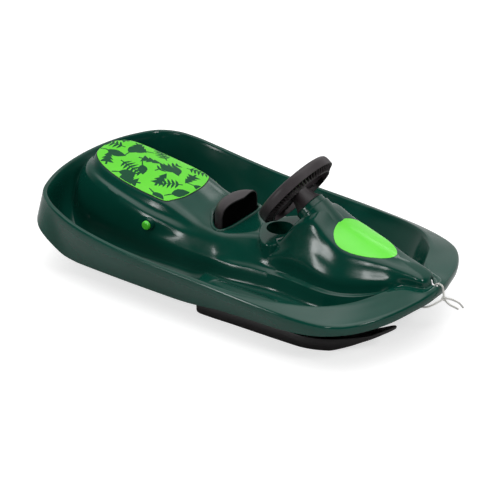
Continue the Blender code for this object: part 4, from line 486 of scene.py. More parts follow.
def prism(outline, low, high):
    """An outline drawn up into a block, its faces outwards whichever way round it runs."""
    bm = bmesh.new()
    base = bm.faces.new([bm.verts.new((x, y, low)) for x, y in outline])
    pushed = bmesh.ops.extrude_face_region(bm, geom=[base])["geom"]
    bmesh.ops.translate(bm, verts=[v for v in pushed if isinstance(v, bmesh.types.BMVert)],
                        vec=(0.0, 0.0, high - low))
    bmesh.ops.recalc_face_normals(bm, faces=bm.faces)
    return bm


def lathe(profile, steps, place, closed=False):
    """Turns (radius, height) points about Z; radius 0 makes a pole."""
    bm = bmesh.new()
    rings = []
    for r, z in profile:
        if r < 1e-6:
            rings.append([bm.verts.new(place @ Vector((0.0, 0.0, z)))])
        else:
            rings.append([bm.verts.new(place @ Vector((r * math.cos(math.tau * k / steps),
                                                       r * math.sin(math.tau * k / steps), z)))
                          for k in range(steps)])
    pairs = list(zip(rings, rings[1:]))
    if closed:
        pairs.append((rings[-1], rings[0]))
    for a, b in pairs:
        for k in range(steps):
            n = (k + 1) % steps
            quad = [a[k % len(a)], a[n % len(a)], b[n % len(b)], b[k % len(b)]]
            quad = list(dict.fromkeys(quad))
            if len(quad) > 2:
                bm.faces.new(quad)
    bmesh.ops.recalc_face_normals(bm, faces=bm.faces)
    return bm


def rounded_box(low, high, width, steps=2):
    """A box between two corners, its edges rounded over."""
    bm = bmesh.new()
    low, high = Vector(low), Vector(high)
    middle, size = Matrix.Translation((low + high) / 2.0), Matrix.Diagonal((*(high - low), 1.0))
    bmesh.ops.create_cube(bm, size=1.0, matrix=middle @ size)
    round_edges(bm, width, steps)
    return bm


def tube(points, radius, sides, closed=False):
    """A round tube along points, with UVs: turns round it, and lays of the braid along it."""
    bm = bmesh.new()
    layer = bm.loops.layers.uv.new("tube")
    count = len(points)
    tangents = []
    for i in range(count):
        a = points[i - 1] if (i > 0 or closed) else points[0]
        b = points[(i + 1) % count] if (i < count - 1 or closed) else points[-1]
        tangents.append((b - a).normalized())
    side = tangents[0].orthogonal().normalized()
    rings = []
    for point, tangent in zip(points, tangents):
        side = (side - tangent * side.dot(tangent)).normalized()
        other = tangent.cross(side)
        rings.append([bm.verts.new(point + (side * math.cos(math.tau * k / sides)
                                            + other * math.sin(math.tau * k / sides)) * radius)
                      for k in range(sides)])
    reach = [0.0]
    for a, b in zip(points, points[1:]):
        reach.append(reach[-1] + (b - a).length / BRAID_LAY)
    pairs = [(i, i + 1) for i in range(count - 1)] + ([(count - 1, 0)] if closed else [])
    for i, j in pairs:
        near, far = reach[i], reach[j] if j > i else reach[i] + 1.0
        for k in range(sides):
            n = (k + 1) % sides
            face = bm.faces.new((rings[i][k], rings[i][n], rings[j][n], rings[j][k]))
            left, right = k / sides, (k + 1) / sides
            spots = ((left, near), (right, near), (right, far), (left, far))
            for loop, spot in zip(face.loops, spots):
                loop[layer].uv = spot
    if not closed:
        bm.faces.new(list(reversed(rings[0])))
        bm.faces.new(rings[-1])
    bmesh.ops.recalc_face_normals(bm, faces=bm.faces)
    return bm


def rib_line(points, samples, first, last):
    """Centripetal Catmull-Rom through points, with given points before and after."""
    chain = [first] + list(points) + [last]
    line = []
    for i in range(1, len(chain) - 2):
        p0, p1, p2, p3 = chain[i - 1:i + 3]
        t1 = max(1e-9, math.sqrt((p1 - p0).length))
        t2 = t1 + max(1e-9, math.sqrt((p2 - p1).length))
        t3 = t2 + max(1e-9, math.sqrt((p3 - p2).length))
        count = samples[i - 1] if isinstance(samples, (list, tuple)) else samples
        for k in range(count):
            t = t1 + (t2 - t1) * k / count
            a1 = p0 * ((t1 - t) / t1) + p1 * (t / t1)
            a2 = p1 * ((t2 - t) / (t2 - t1)) + p2 * ((t - t1) / (t2 - t1))
            a3 = p2 * ((t3 - t) / (t3 - t2)) + p3 * ((t - t2) / (t3 - t2))
            b1 = a1 * ((t2 - t) / t2) + a2 * (t / t2)
            b2 = a2 * ((t3 - t) / (t3 - t1)) + a3 * ((t - t1) / (t3 - t1))
            line.append(b1 * ((t2 - t) / (t2 - t1)) + b2 * ((t - t1) / (t2 - t1)))
    line.append(chain[-2])
    return line


def flip(point):
    return Vector((point.x, -point.y, *point[2:]))


def across_line(points, samples):
    """A curve that runs on across the middle line at both ends."""
    return rib_line(points, samples, flip(points[1]), flip(points[-2]))


def open_line(points, samples):
    return rib_line(points, samples, points[0] * 2 - points[1], points[-1] * 2 - points[-2])


def outline(shares, samples=6, grow=0.0):
    """A closed smooth plan outline, both sides, from one side's shares."""
    left = across_line([at(a, b, 0.0) for a, b in shares], samples)
    loop = left + [flip(p) for p in reversed(left[1:-1])]
    if grow:
        out = []
        for i, p in enumerate(loop):
            run = loop[(i + 1) % len(loop)] - loop[i - 1]
            out.append(p + Vector((run.y, -run.x, 0.0)).normalized() * -grow)
        loop = out
    return [(p.x, p.y) for p in loop]


def closed_line(points, samples):
    """A smooth closed line through points."""
    out = []
    for i in range(len(points)):
        after, beyond = points[(i + 1) % len(points)], points[(i + 2) % len(points)]
        out += rib_line([points[i], after], samples, points[i - 1], beyond)[:-1]
    return out


# ---- the hull's surface
CURVES = {name: across_line([at(*row) for row in rows], SAMPLES)
          for name, rows in PLAN_CURVES.items()}
CREST_LINE = open_line([at(a, 0.0, b) for a, b in CREST], SAMPLES)

# Sections start on the middle line.  They stand side by side along the hull, between these two
# shares of the length, and fan out round the tail and the nose.
TAIL_SHARE, NOSE_SHARE, NOSE_TIP_SHARE = -0.33, 0.28, 0.508
TAIL_FAN_SHARE, TAIL_TIP_SHARE, TAIL_FAN_RATE = -0.345, -0.5, 0.235
NOSE_FAN_SHARE, NOSE_FAN_POWER = 0.115, 1.4
SIDES_START_SHARE, SIDES_SPAN_SHARE = -0.305, 0.585

CROWN_SHARE = 0.30                          # rise of the seat's crown half way to its edge
DECK_SHARES, DECK_BULGE = (0.22, 0.80), 0.0012
RIM_NOSE_OUT, RIM_NOSE_DOWN = 0.0022, 0.0085

# the hood's crown beside the collar: how high, from where to where along, how wide
SWELL_HEIGHT, SWELL_WIDTH = 0.0150, 0.036
SWELL_RISE, SWELL_FALL = (0.186, 0.018), (0.203, 0.070)

def crest_height(along):
    for a, b in zip(CREST_LINE, CREST_LINE[1:]):
        if a.x <= along <= b.x:
            return a.z + (b.z - a.z) * (along - a.x) / (b.x - a.x)
    return CREST_LINE[0].z if along < CREST_LINE[0].x else CREST_LINE[-1].z


def crossing(start, outer, curve):
    run = outer - start
    best = None
    for a, b in zip(curve, curve[1:]):
        side_a = (a.x - start.x) * run.y - (a.y - start.y) * run.x
        side_b = (b.x - start.x) * run.y - (b.y - start.y) * run.x
        if side_a == side_b or side_a * side_b > 0.0:
            continue
        met = a.lerp(b, side_a / (side_a - side_b))
        share = ((met.x - start.x) * run.x + (met.y - start.y) * run.y) / (run.x ** 2 + run.y ** 2)
        if share > 0.0 and (best is None or share < best[0]):
            best = (share, met.z)
    return best


def section_start(outer):
    """Where the section that ends at this point of the rim starts on the middle line."""
    share = outer.x / LENGTH
    if share < TAIL_SHARE:
        start = TAIL_FAN_SHARE + (share - TAIL_TIP_SHARE) * TAIL_FAN_RATE
    elif share > NOSE_SHARE:
        left = max(0.0, (NOSE_TIP_SHARE - share) / (NOSE_TIP_SHARE - NOSE_SHARE))
        start = NOSE_SHARE + NOSE_FAN_SHARE * (1.0 - left ** NOSE_FAN_POWER)
    else:
        done = (share - TAIL_SHARE) / (NOSE_SHARE - TAIL_SHARE)
        start = SIDES_START_SHARE + done * SIDES_SPAN_SHARE
    return Vector((start * LENGTH, 0.0, 0.0))


def section(outer):
    """Points (share of the way out, height) of one section, from the crest to the skirt."""
    start = section_start(outer)
    run = Vector((outer.x - start.x, outer.y, 0.0))
    crest = crest_height(start.x)
    share, height = crossing(start, outer, CURVES["seat"])
    crown = (share / 2.0, crest + (height - crest) * CROWN_SHARE)
    points = [(0.0, crest), crown, (share, height)]
    points += [crossing(start, outer, CURVES[name]) for name in CURVE_ORDER[1:]]
    share_in, height_in = points[-1]
    for part in DECK_SHARES:
        points.append((share_in + (1.0 - share_in) * part,
                       height_in + (outer.z - height_in) * part + DECK_BULGE))
    points.append((1.0, outer.z))
    points.append((1.0 + RIM_NOSE_OUT / run.length, outer.z - RIM_NOSE_DOWN))
    points.append(crossing(start, outer, CURVES["skirt"]))
    return start, run, points


def closeness(share):
    for (a, low), (b, high) in zip(CLOSENESS, CLOSENESS[1:]):
        if a <= share <= b:
            return low + (high - low) * (share - a) / (b - a)
    return CLOSENESS[-1][1]


def eased(along, start, span):
    """0 before start, 1 past the span, smooth between."""
    share = min(1.0, max(0.0, (along - start) / span))
    return share * share * (3.0 - 2.0 * share)


def swell(along, across):
    """The hood's crown rises to meet the collar of the steering column."""
    lift = eased(along, *SWELL_RISE) * (1.0 - eased(along, *SWELL_FALL))
    return SWELL_HEIGHT * lift * math.exp(-(across / SWELL_WIDTH) ** 2)


def hull_rows():
    line = CURVES["edge_out"]
    reach = [0.0]
    for a, b in zip(line, line[1:]):
        reach.append(reach[-1] + (b - a).length * closeness((a.x + b.x) / 2.0 / LENGTH))
    rows, j = [], 0
    for i in range(STATIONS):
        want = reach[-1] * i / (STATIONS - 1)
        while j < len(reach) - 2 and reach[j + 1] < want:
            j += 1
        outer = line[j].lerp(line[j + 1], min(1.0, (want - reach[j]) / (reach[j + 1] - reach[j])))
        if i in (0, STATIONS - 1):
            outer.y = 0.0
        start, run, points = section(outer)
        flat = [Vector((share * run.length, height)) for share, height in points]
        flat = rib_line(flat, SPLITS, Vector((-flat[1].x, flat[1].y)), flat[-1] * 2 - flat[-2])
        row = [Vector((start.x + run.x * p.x / run.length, start.y + run.y * p.x / run.length,
                       p.y)) for p in flat]
        row[0].y = 0.0
        for p in row:
            p.z += swell(p.x, p.y)
        if outer.y == 0.0:
            for p in row:
                p.y = 0.0
        rows.append(row)
    return rows


ROWS = hull_rows()
WIDE = len(ROWS[0])
SKIN = BVHTree.FromPolygons(
    [p for row in ROWS for p in row],
    [(i * WIDE + j, i * WIDE + j + 1, (i + 1) * WIDE + j + 1, (i + 1) * WIDE + j)
     for i in range(STATIONS - 1) for j in range(WIDE - 1)])


def skin(x, y):
    """Height of the top surface over a plan point."""
    return SKIN.ray_cast(Vector((x, abs(y), 0.6)), Vector((0.0, 0.0, -1.0)))[0].z


def sheet(first, last, column, lift=0.0):
    """Part of the hull's surface, both halves, lifted along its normals."""
    bm = bmesh.new()
    grid = [[bm.verts.new(p) for p in row[:column + 1]] for row in ROWS[first:last + 1]]
    for a, b in zip(grid, grid[1:]):
        for j in range(column):
            bm.faces.new((a[j], b[j], b[j + 1], a[j + 1]))
    half = list(bm.verts) + list(bm.edges) + list(bm.faces)
    bmesh.ops.mirror(bm, geom=half, merge_dist=0.00003, axis="Y")
    bmesh.ops.remove_doubles(bm, verts=bm.verts, dist=0.000001)
    bmesh.ops.recalc_face_normals(bm, faces=bm.faces)
    bm.normal_update()
    if sum(face.normal.z for face in bm.faces) < 0.0:
        bmesh.ops.reverse_faces(bm, faces=bm.faces)
        bm.normal_update()
    if lift:
        for v, normal in [(v, v.normal.copy()) for v in bm.verts]:
            v.co += normal * lift
    return bm


def thicken(piece, thickness, offset):
    wall = piece.modifiers.new("wall", "SOLIDIFY")
    wall.thickness, wall.offset = thickness, offset
    bake(piece)


TILT = math.radians(36.2)
WHEEL_CENTRE = at(0.128, 0.0, 1.3365)
DOWN_COLUMN = Vector((math.cos(TILT), 0.0, -math.sin(TILT)))
COLUMN = Matrix.Translation(WHEEL_CENTRE) @ Matrix((
    Vector((math.sin(TILT), 0.0, math.cos(TILT))), Vector((0.0, 1.0, 0.0)),
    -DOWN_COLUMN)).transposed().to_4x4()
QUARTER = math.pi / 2.0
SIDES = {"left": 1.0, "right": -1.0}

HULL_WALL = 0.0026
AXLE = at(-0.205, 0.0, 0.655)
KEEL_ACROSS, KEEL_HALF, KEEL_HEIGHT = 0.5900 * HALF_WIDTH, 0.011, 0.046
RUNNER_HALF, RUNNER_HEIGHT, RUNNER_OFFSET = 0.0012, 0.004, 0.005
TOWER_ALONG, TOWER_ACROSS = (0.262, 0.312), (0.625 * HALF_WIDTH, 0.672 * HALF_WIDTH)
TOWER_TOP, TOWER_FOOT = 0.084, 0.081
SKI_PIVOT_SHARES, SKI_STUD_SHARES = (0.290, 0.5643), (0.170, 0.5643)
CUP = at(0.087, 0.0, 0.0)
CUP_RADIUS, CUP_DEPTH, CUP_SIDES = 0.0325, 0.045, 72
CUP_TOP = skin(CUP.x, 0.0)
CUP_FLOOR = CUP_TOP - CUP_DEPTH
SHELF_TOP = CUP_TOP + 0.0016
CORD_SLOT = ((0.4845, 0.0047, 0.12), (0.5035, 0.0127, 0.16))
BEAD_RADIUS, BEAD_OUT, BEAD_DOWN = 0.0046, 0.0036, 0.0012

# (radius, height) of what is turned: the collar down the column, bosses from the middle outwards
COLLAR = [
    (0.0100, -0.0470), (0.0350, -0.0470), (0.0364, -0.0476), (0.0370, -0.0492), (0.0370, -0.0590),
    (0.0374, -0.0602), (0.0392, -0.0610), (0.0402, -0.0622), (0.0408, -0.0640), (0.0415, -0.1260),
]
AXLE_BOSS = [
    (0.0045, 0.1285), (0.0138, 0.1285), (0.0148, 0.1279), (0.0152, 0.1262), (0.0160, 0.1100),
]
PIVOT_BOSS_BELOW = [
    (0.0045, 0.0435), (0.0132, 0.0435), (0.0140, 0.0443), (0.0140, 0.0600),
]
PIVOT_BOSS_ABOVE = [
    (0.0160, 0.0500), (0.0150, 0.0563), (0.0140, 0.0567), (0.0045, 0.0567),
]

# how far the shelf's rings stand out, and how far they drop
SHELF_RIM = [
    (-0.0060, 0.0), (-0.0030, 0.0001), (-0.0012, 0.0007), (-0.0002, 0.0022), (0.0002, 0.0045),
]
# the same where it runs out, and how high over the skin it may stay
SHELF_FOOT = [
    (0.0012, 0.0046, 0.0010), (0.0045, 0.0047, -0.0004),
]

# foot pad: share of the outline and drop, ring by ring, for its edge and for its dip
PAD_TOP = 0.0605
PAD_MIDDLE, DIP_MIDDLE = (0.10, 0.150), (0.0945, 0.1600)
PAD_EDGE = [
    (0.93, 0.0), (0.955, 0.0002), (0.975, 0.0010), (0.985, 0.0022),
]
DIP_EDGE = [
    (1.02, 0.0), (1.0, 0.0004), (0.985, 0.0016), (0.96, 0.0024),
]


def across_axle(side):
    """A frame on the brake axle whose Z points out to this side."""
    return Matrix.Translation(AXLE) @ Matrix.Rotation(-side * QUARTER, 4, "X")


def upright(shares, side):
    """A frame that stands on the ground at these shares, on this side."""
    along, across = shares
    return Matrix.Translation(at(along, across * side, 0.0))


def pad_rings(pad, line, middle, steps):
    return [[pad.verts.new((*(middle + (p - middle) * share).xy, PAD_TOP - drop)) for p in line]
            for share, drop in steps]


def footrest(side):
    """The raised foot pad in a footwell: rounded edge, shallow long dip."""
    pad = bmesh.new()
    edge = open_line([at(a, y * side, 0.0) for a, y in FOOTREST], 5)
    rings = pad_rings(pad, edge, Vector((PAD_MIDDLE[0], PAD_MIDDLE[1] * side, 0.0)), PAD_EDGE)
    rings.append([pad.verts.new((p.x, p.y, min(PAD_TOP - 0.003, skin(p.x, p.y) - 0.0005)))
                  for p in edge])
    bridge(pad, rings)
    dip = closed_line([at(a, y * side, 0.0) for a, y in FOOTREST_DIP], 4)
    wells = pad_rings(pad, dip, Vector((DIP_MIDDLE[0], DIP_MIDDLE[1] * side, 0.0)), DIP_EDGE)
    bridge(pad, wells)
    pad.faces.new(wells[-1])
    fill_between(pad, rings[0], wells[0])
    bmesh.ops.recalc_face_normals(pad, faces=pad.faces)
    return pad


def cup_shelf():
    """Shelf round the cup hole, rounded over at its rim and run out onto the skin."""
    shelf = bmesh.new()
    rings = [[(x, y, SHELF_TOP - drop) for x, y in outline(CUP_PLATE, 6, grow)]
             for grow, drop in SHELF_RIM]
    rings += [[(x, y, min(SHELF_TOP - drop, skin(x, y) + over))
               for x, y in outline(CUP_PLATE, 6, grow)] for grow, drop, over in SHELF_FOOT]
    rings = [[shelf.verts.new(p) for p in ring] for ring in rings]
    bridge(shelf, rings)
    radius = CUP_RADIUS + 0.0006
    turns = [math.tau * k / CUP_SIDES for k in range(CUP_SIDES)]
    hole = [shelf.verts.new((CUP.x + radius * math.cos(turn), radius * math.sin(turn), SHELF_TOP))
            for turn in turns]
    fill_between(shelf, rings[0], hole)
    bmesh.ops.recalc_face_normals(shelf, faces=shelf.faces)
    return shelf


def cup_walls():
    """The cup's inside, with a rounded lip and floor corner, and its plain outside."""
    inside = [(CUP_RADIUS + 0.0006, SHELF_TOP), (CUP_RADIUS, SHELF_TOP - 0.0006),
              (CUP_RADIUS - 0.0006, CUP_FLOOR + 0.004), (CUP_RADIUS - 0.0018, CUP_FLOOR + 0.0012),
              (CUP_RADIUS - 0.0045, CUP_FLOOR), (0.0, CUP_FLOOR)]
    outside = [(CUP_RADIUS + HULL_WALL, CUP_TOP - 0.004),
               (CUP_RADIUS + HULL_WALL, CUP_FLOOR - 0.002), (0.0, CUP_FLOOR - HULL_WALL)]
    return [lathe(profile, CUP_SIDES, Matrix.Translation(CUP)) for profile in (inside, outside)]


def stiffening_tower(side):
    """A post from the footwell's floor up against the deck."""
    (back, front), (near, far) = TOWER_ALONG, TOWER_ACROSS
    corners = [(back, near * side), (front, near * side), (front, far * side), (back, far * side)]
    tower = prism(corners, 0.0, TOWER_TOP)
    for v in tower.verts:
        if v.co.z == 0.0:
            v.co.z = min(skin(v.co.x, v.co.y) - 0.0015, TOWER_FOOT)
    round_edges(tower, 0.0022, 2)
    return tower


def side_parts(side):
    """What stands on one side: axle boss, keel and its runners, pivot bosses, pad, tower."""
    middle = KEEL_ACROSS * side
    parts = [lathe(AXLE_BOSS, 48, across_axle(side)),
             rounded_box((-0.400, middle - KEEL_HALF, 0.0),
                         (-0.045, middle + KEEL_HALF, KEEL_HEIGHT), 0.005, 3)]
    for offset in (-RUNNER_OFFSET, RUNNER_OFFSET):
        parts.append(rounded_box((-0.380, middle + offset - RUNNER_HALF, 0.0),
                                 (-0.065, middle + offset + RUNNER_HALF, RUNNER_HEIGHT),
                                 0.0005, 1))
    for boss in (PIVOT_BOSS_BELOW, PIVOT_BOSS_ABOVE):
        parts.append(lathe(boss, 40, upright(SKI_PIVOT_SHARES, side)))
    return parts + [footrest(side), stiffening_tower(side)]


def hull_holes():
    """What is cut out of the moulding: brake opening, cup, slot of the tow cord."""
    holes = prism(outline(BRAKE_OPENING), 0.10, 0.22)
    bore = [(0.0, CUP_FLOOR + 0.02), (CUP_RADIUS, CUP_FLOOR + 0.02), (CUP_RADIUS, 0.2), (0.0, 0.2)]
    merge(holes, lathe(bore, 64, Matrix.Translation(CUP)))
    merge(holes, rounded_box(*CORD_SLOT, 0.002))
    return holes


def build_hull():
    hull = new_piece("hull_moulding", sheet(0, STATIONS - 1, WIDE - 1), HULL_GREEN)
    thicken(hull, HULL_WALL, -1.0)
    cut_with(hull, hull_holes())
    bm = bmesh.new()
    bm.from_mesh(hull.data)
    bead = [Vector((x, y, skin(x, y) - BEAD_DOWN))
            for x, y in outline(BRAKE_OPENING, 6, BEAD_OUT)]
    parts = [tube(bead, BEAD_RADIUS, 14, closed=True), cup_shelf(), *cup_walls(),
             lathe(COLLAR, 96, COLUMN)]
    for side in SIDES.values():
        parts += side_parts(side)
    for part in parts:
        merge(bm, part)
    put_back(hull, bm, HULL_GREEN)
    hand_over(hull, "hull", 34.0, ["hull_shell"])


build_hull()


# ---- labels and their print
LABEL_COLUMN = sum(SPLITS[:4])
SEAT_SPAN, HOOD_SPAN = (-0.50, -0.13), (0.20, 0.50)     # shares of the length
THROUGH = (0.10, 0.40)                                  # heights an outline is cut through
LABEL_ANGLE = 40.0


def film(name, span, lift, thickness, mat):
    """A thin film over the middle of the hull's skin, at a height over it."""
    inside = [i for i, row in enumerate(ROWS) if span[0] <= row[0].x / LENGTH <= span[1]]
    first, last = max(0, inside[0] - 1), min(STATIONS - 1, inside[-1] + 1)
    piece = new_piece(name, sheet(first, last, LABEL_COLUMN, lift), mat)
    thicken(piece, thickness, 1.0)
    return piece


def keep_largest(piece):
    """Drops stray slivers that a cut leaves beside the main sheet."""
    bm = bmesh.new()
    bm.from_mesh(piece.data)
    left, islands = set(bm.verts), []
    while left:
        stack, island = [left.pop()], []
        while stack:
            v = stack.pop()
            island.append(v)
            for edge in v.link_edges:
                other = edge.other_vert(v)
                if other in left:
                    left.discard(other)
                    stack.append(other)
        islands.append(island)
    islands.sort(key=len)
    for island in islands[:-1]:
        bmesh.ops.delete(bm, geom=island, context="VERTS")
    bm.to_mesh(piece.data)
    bm.free()


def build_label(name, shares, mat, span, node_name):
    piece = film(name, span, 0.0003, 0.0006, mat)
    cut_with(piece, prism(outline(shares, 8), *THROUGH), "INTERSECT")
    keep_largest(piece)
    hand_over(piece, "hull", LABEL_ANGLE, [node_name])


def build_edge():
    """Painted shade: a dark line round the seat label, for the shadowed edge of the recess that it
    lies in.
    """
    piece = film("seat_label_painted_shade_edge", SEAT_SPAN, 0.0001, 0.0004, SHADOW_GREEN)
    cut_with(piece, prism(outline(SEAT_LABEL, 8, 0.0020), *THROUGH), "INTERSECT")
    cut_with(piece, prism(outline(SEAT_LABEL, 8, -0.0010), THROUGH[0] - 0.01, THROUGH[1] + 0.01))
    hand_over(piece, "hull", LABEL_ANGLE)


build_label("seat_decal", SEAT_LABEL, LIME, SEAT_SPAN, "seat_label")
build_edge()
build_label("hood_decal", HOOD_LABEL, BRIGHT, HOOD_SPAN, "hood_label")

# one side of a leaf, from root to tip; of a fir, from foot to top; a leaflet of a fern
LEAF = [
    (-0.28, 0.03), (0.00, 0.035), (0.10, 0.03), (0.18, 0.13), (0.34, 0.24), (0.52, 0.27),
    (0.72, 0.20), (0.88, 0.09), (1.00, 0.0),
]
FIR = [
    (-0.30, 0.05), (-0.12, 0.05), (-0.12, 0.34), (0.12, 0.13), (0.12, 0.28), (0.38, 0.10),
    (0.38, 0.20), (0.80, 0.0),
]
FERN_STALK = [
    (-0.2, 0.028), (0.9, 0.016), (0.9, -0.016), (-0.2, -0.028),
]
FERN_PAIRS, FERN_FOOT, FERN_STEP = 6, -0.05, 0.165
FERN_REACH, FERN_TAPER, FERN_WIDEST = 0.36, 0.045, 1.5
PRINT_SCALE = 1.28


def both_sides(half):
    return half + [(x, -y) for x, y in reversed(half[:-1])]


def leaf():
    """A pointed leaf with a stalk."""
    return [both_sides(LEAF)]


def fir():
    """A small fir tree of three tiers."""
    return [both_sides(FIR)]


def fern():
    """A stalk with pairs of small leaflets."""
    shapes = [FERN_STALK]
    for k in range(FERN_PAIRS):
        root = FERN_FOOT + k * FERN_STEP
        reach = FERN_REACH - FERN_TAPER * abs(k - FERN_WIDEST)
        wide = reach / FERN_REACH
        leaflet = [(root, 0.0), (root + 0.05, 0.16 * wide), (root + 0.16, reach),
                   (root + 0.15, 0.13 * wide), (root + 0.10, 0.0)]
        shapes += [[(x, y * side) for x, y in leaflet] for side in SIDES.values()]
    return shapes


# motif, size, place along and across in metres, turn in degrees
MOTIFS = [
    (leaf, 0.042, -0.418, -0.020, 15), (fern, 0.046, -0.405, 0.022, 200),
    (fir, 0.040, -0.385, -0.055, 120), (fir, 0.036, -0.378, 0.057, 340),
    (leaf, 0.040, -0.372, 0.008, 95), (fern, 0.050, -0.350, -0.032, 350),
    (leaf, 0.038, -0.345, 0.052, 215), (leaf, 0.036, -0.340, -0.072, 30),
    (fir, 0.042, -0.325, 0.016, 20), (fern, 0.046, -0.300, 0.062, 150),
    (leaf, 0.044, -0.300, -0.048, 250), (fir, 0.038, -0.283, -0.076, 200),
    (fern, 0.050, -0.272, 0.004, 75), (leaf, 0.040, -0.262, 0.048, 320),
    (fir, 0.042, -0.240, -0.040, 100), (leaf, 0.042, -0.236, 0.018, 170),
    (fern, 0.044, -0.225, 0.068, 20), (leaf, 0.038, -0.228, -0.078, 340),
    (fir, 0.040, -0.198, 0.040, 280), (fern, 0.046, -0.200, -0.016, 215),
    (leaf, 0.040, -0.190, -0.060, 60), (leaf, 0.034, -0.178, 0.010, 20),
    (fir, 0.036, -0.420, 0.050, 60), (leaf, 0.034, -0.314, -0.008, 310),
]


def build_print():
    """Leaves, ferns and firs scattered over the seat label, cut from a skin that follows it."""
    piece = film("seat_print", SEAT_SPAN, 0.00088, 0.00016, PRINT)
    shapes = bmesh.new()
    for make, size, x, y, degrees in MOTIFS:
        turn = Matrix.Rotation(math.radians(degrees), 2)
        for k, shape in enumerate(make()):
            placed = [turn @ (Vector(p) * (PRINT_SCALE * size)) for p in shape]
            # no two cutters of a motif end at one height, where they would share a face
            apart = 0.0001 * k
            merge(shapes, prism([(x + p.x, y + p.y) for p in placed],
                                THROUGH[0] - apart, THROUGH[1] + apart))
    cut_with(piece, shapes, "INTERSECT", crossing_parts=True)
    cut_with(piece, prism(outline(SEAT_LABEL, 8, -0.0015), *THROUGH), "INTERSECT")
    hand_over(piece, "hull", LABEL_ANGLE)


build_print()


# ---- steering wheel, in its own frame: Z towards the rider, X up along the tilted wheel
WHEEL_RADIUS = 0.1012
# shares of the radius, (out, towards the rider); the section is open at the back, and ribbed
RIM_SECTION = [
    (1.000, -0.094), (1.000, 0.020), (0.998, 0.060), (0.990, 0.098), (0.972, 0.128), (0.946, 0.149),
    (0.915, 0.158), (0.882, 0.157), (0.852, 0.145), (0.828, 0.122), (0.811, 0.090), (0.802, 0.050),
    (0.798, 0.000), (0.796, -0.100), (0.795, -0.194), (0.800, -0.200), (0.824, -0.200),
    (0.829, -0.194), (0.832, -0.100), (0.836, 0.010), (0.845, 0.062), (0.864, 0.096),
    (0.895, 0.112), (0.928, 0.106), (0.952, 0.082), (0.963, 0.040), (0.966, -0.020),
    (0.967, -0.094), (0.972, -0.099), (0.995, -0.099),
]
RIB_SECTION = [
    (0.812, -0.197), (0.983, -0.095), (0.983, 0.040), (0.945, 0.125), (0.900, 0.135),
    (0.850, 0.118), (0.822, 0.060),
]
RIB_COUNT, RIB_HALF = 66, 0.0008
BUMP_COUNT, BUMP_STEP, BUMP_HALVES = 11, math.radians(5.2), (0.0060, 0.0022, 0.0020)
BUMP_OUT_SHARE, BUMP_HEIGHT = 0.860, 0.0142
# hub: a flared cone that stands on the collar, closed at the rider's side
HUB_CONE = [
    (0.0, 0.0015), (0.0100, 0.0014), (0.0165, 0.0004), (0.0190, -0.0022), (0.0204, -0.0080),
    (0.0225, -0.0180), (0.0255, -0.0280), (0.0290, -0.0370), (0.0325, -0.0430), (0.0338, -0.0452),
    (0.0340, -0.0462), (0.0325, -0.0463), (0.0310, -0.0440), (0.0, -0.0430),
]
# along a spoke: (way out, half width, height); its section: (half widths, how far in, how far up)
SPOKE_COUNT = 3
SPOKE_STATIONS = [
    (0.012, 0.0160, -0.0020), (0.022, 0.0150, -0.0022), (0.040, 0.0128, -0.0024),
    (0.060, 0.0120, -0.0022), (0.074, 0.0135, -0.0010), (0.0835, 0.0165, 0.0005),
]
SPOKE_SECTION = [
    (-1, 0.0, -0.0100), (-1, -0.0006, -0.0020), (-1, 0.0022, 0.0), (0, 0.0, 0.0012),
    (1, -0.0022, 0.0), (1, 0.0006, -0.0020), (1, 0.0, -0.0100), (1, -0.0022, -0.0100),
    (1, -0.0030, -0.0030), (0, 0.0, -0.0018), (-1, 0.0030, -0.0030), (-1, 0.0022, -0.0100),
]
SCREW_TUBE = [
    (0.0, -0.0150), (0.0024, -0.0150), (0.0044, -0.0148), (0.0048, -0.0140), (0.0052, -0.0030),
]
SCREW_TUBE_OUT = 0.056


def ring_tree():
    """Geometry nodes: copies of a shape turned about Z, a step apart, from a first angle on."""
    tree = bpy.data.node_groups.new("ring_of_copies", "GeometryNodeTree")
    wanted = {"Shape": "NodeSocketGeometry", "Count": "NodeSocketInt",
              "First Angle": "NodeSocketFloat", "Step": "NodeSocketFloat",
              "Plastic": "NodeSocketMaterial"}
    sockets = {name: tree.interface.new_socket(name, in_out="INPUT", socket_type=kind).identifier
               for name, kind in wanted.items()}
    tree.interface.new_socket("Ring", in_out="OUTPUT", socket_type="NodeSocketGeometry")
    given = node(tree, "NodeGroupInput").outputs
    number = node(tree, "GeometryNodeInputIndex").outputs[0]
    angle = node(tree, "ShaderNodeMath", {0: number, 1: given["Step"], 2: given["First Angle"]},
                 operation="MULTIPLY_ADD").outputs[0]
    about_z = node(tree, "ShaderNodeCombineXYZ", {2: angle}).outputs[0]
    turn = node(tree, "FunctionNodeEulerToRotation", {0: about_z}).outputs[0]
    points = node(tree, "GeometryNodePoints", {"Count": given["Count"]}).outputs[0]
    copies = node(tree, "GeometryNodeInstanceOnPoints", {
        "Points": points, "Instance": given["Shape"], "Rotation": turn}).outputs[0]
    real = node(tree, "GeometryNodeRealizeInstances", {0: copies}).outputs[0]
    coated = node(tree, "GeometryNodeSetMaterial", {"Geometry": real,
                                                    "Material": given["Plastic"]}).outputs[0]
    node(tree, "NodeGroupOutput", {0: coated})
    return tree, sockets


RING, RING_SOCKETS = ring_tree()


def ring_of(shape, count, first, step):
    """A shape in the wheel's frame, repeated round the wheel and put in its place."""
    piece = new_piece("ring", shape, BLACK)
    repeat = piece.modifiers.new("repeat", "NODES")
    repeat.node_group = RING
    for name, value in {"Count": count, "First Angle": first, "Step": step,
                        "Plastic": BLACK}.items():
        repeat[RING_SOCKETS[name]] = value
    bake(piece)
    bm = bmesh.new()
    bm.from_mesh(piece.data)
    bm.transform(COLUMN)
    mesh = piece.data
    bpy.data.objects.remove(piece, do_unlink=True)
    bpy.data.meshes.remove(mesh)
    return bm


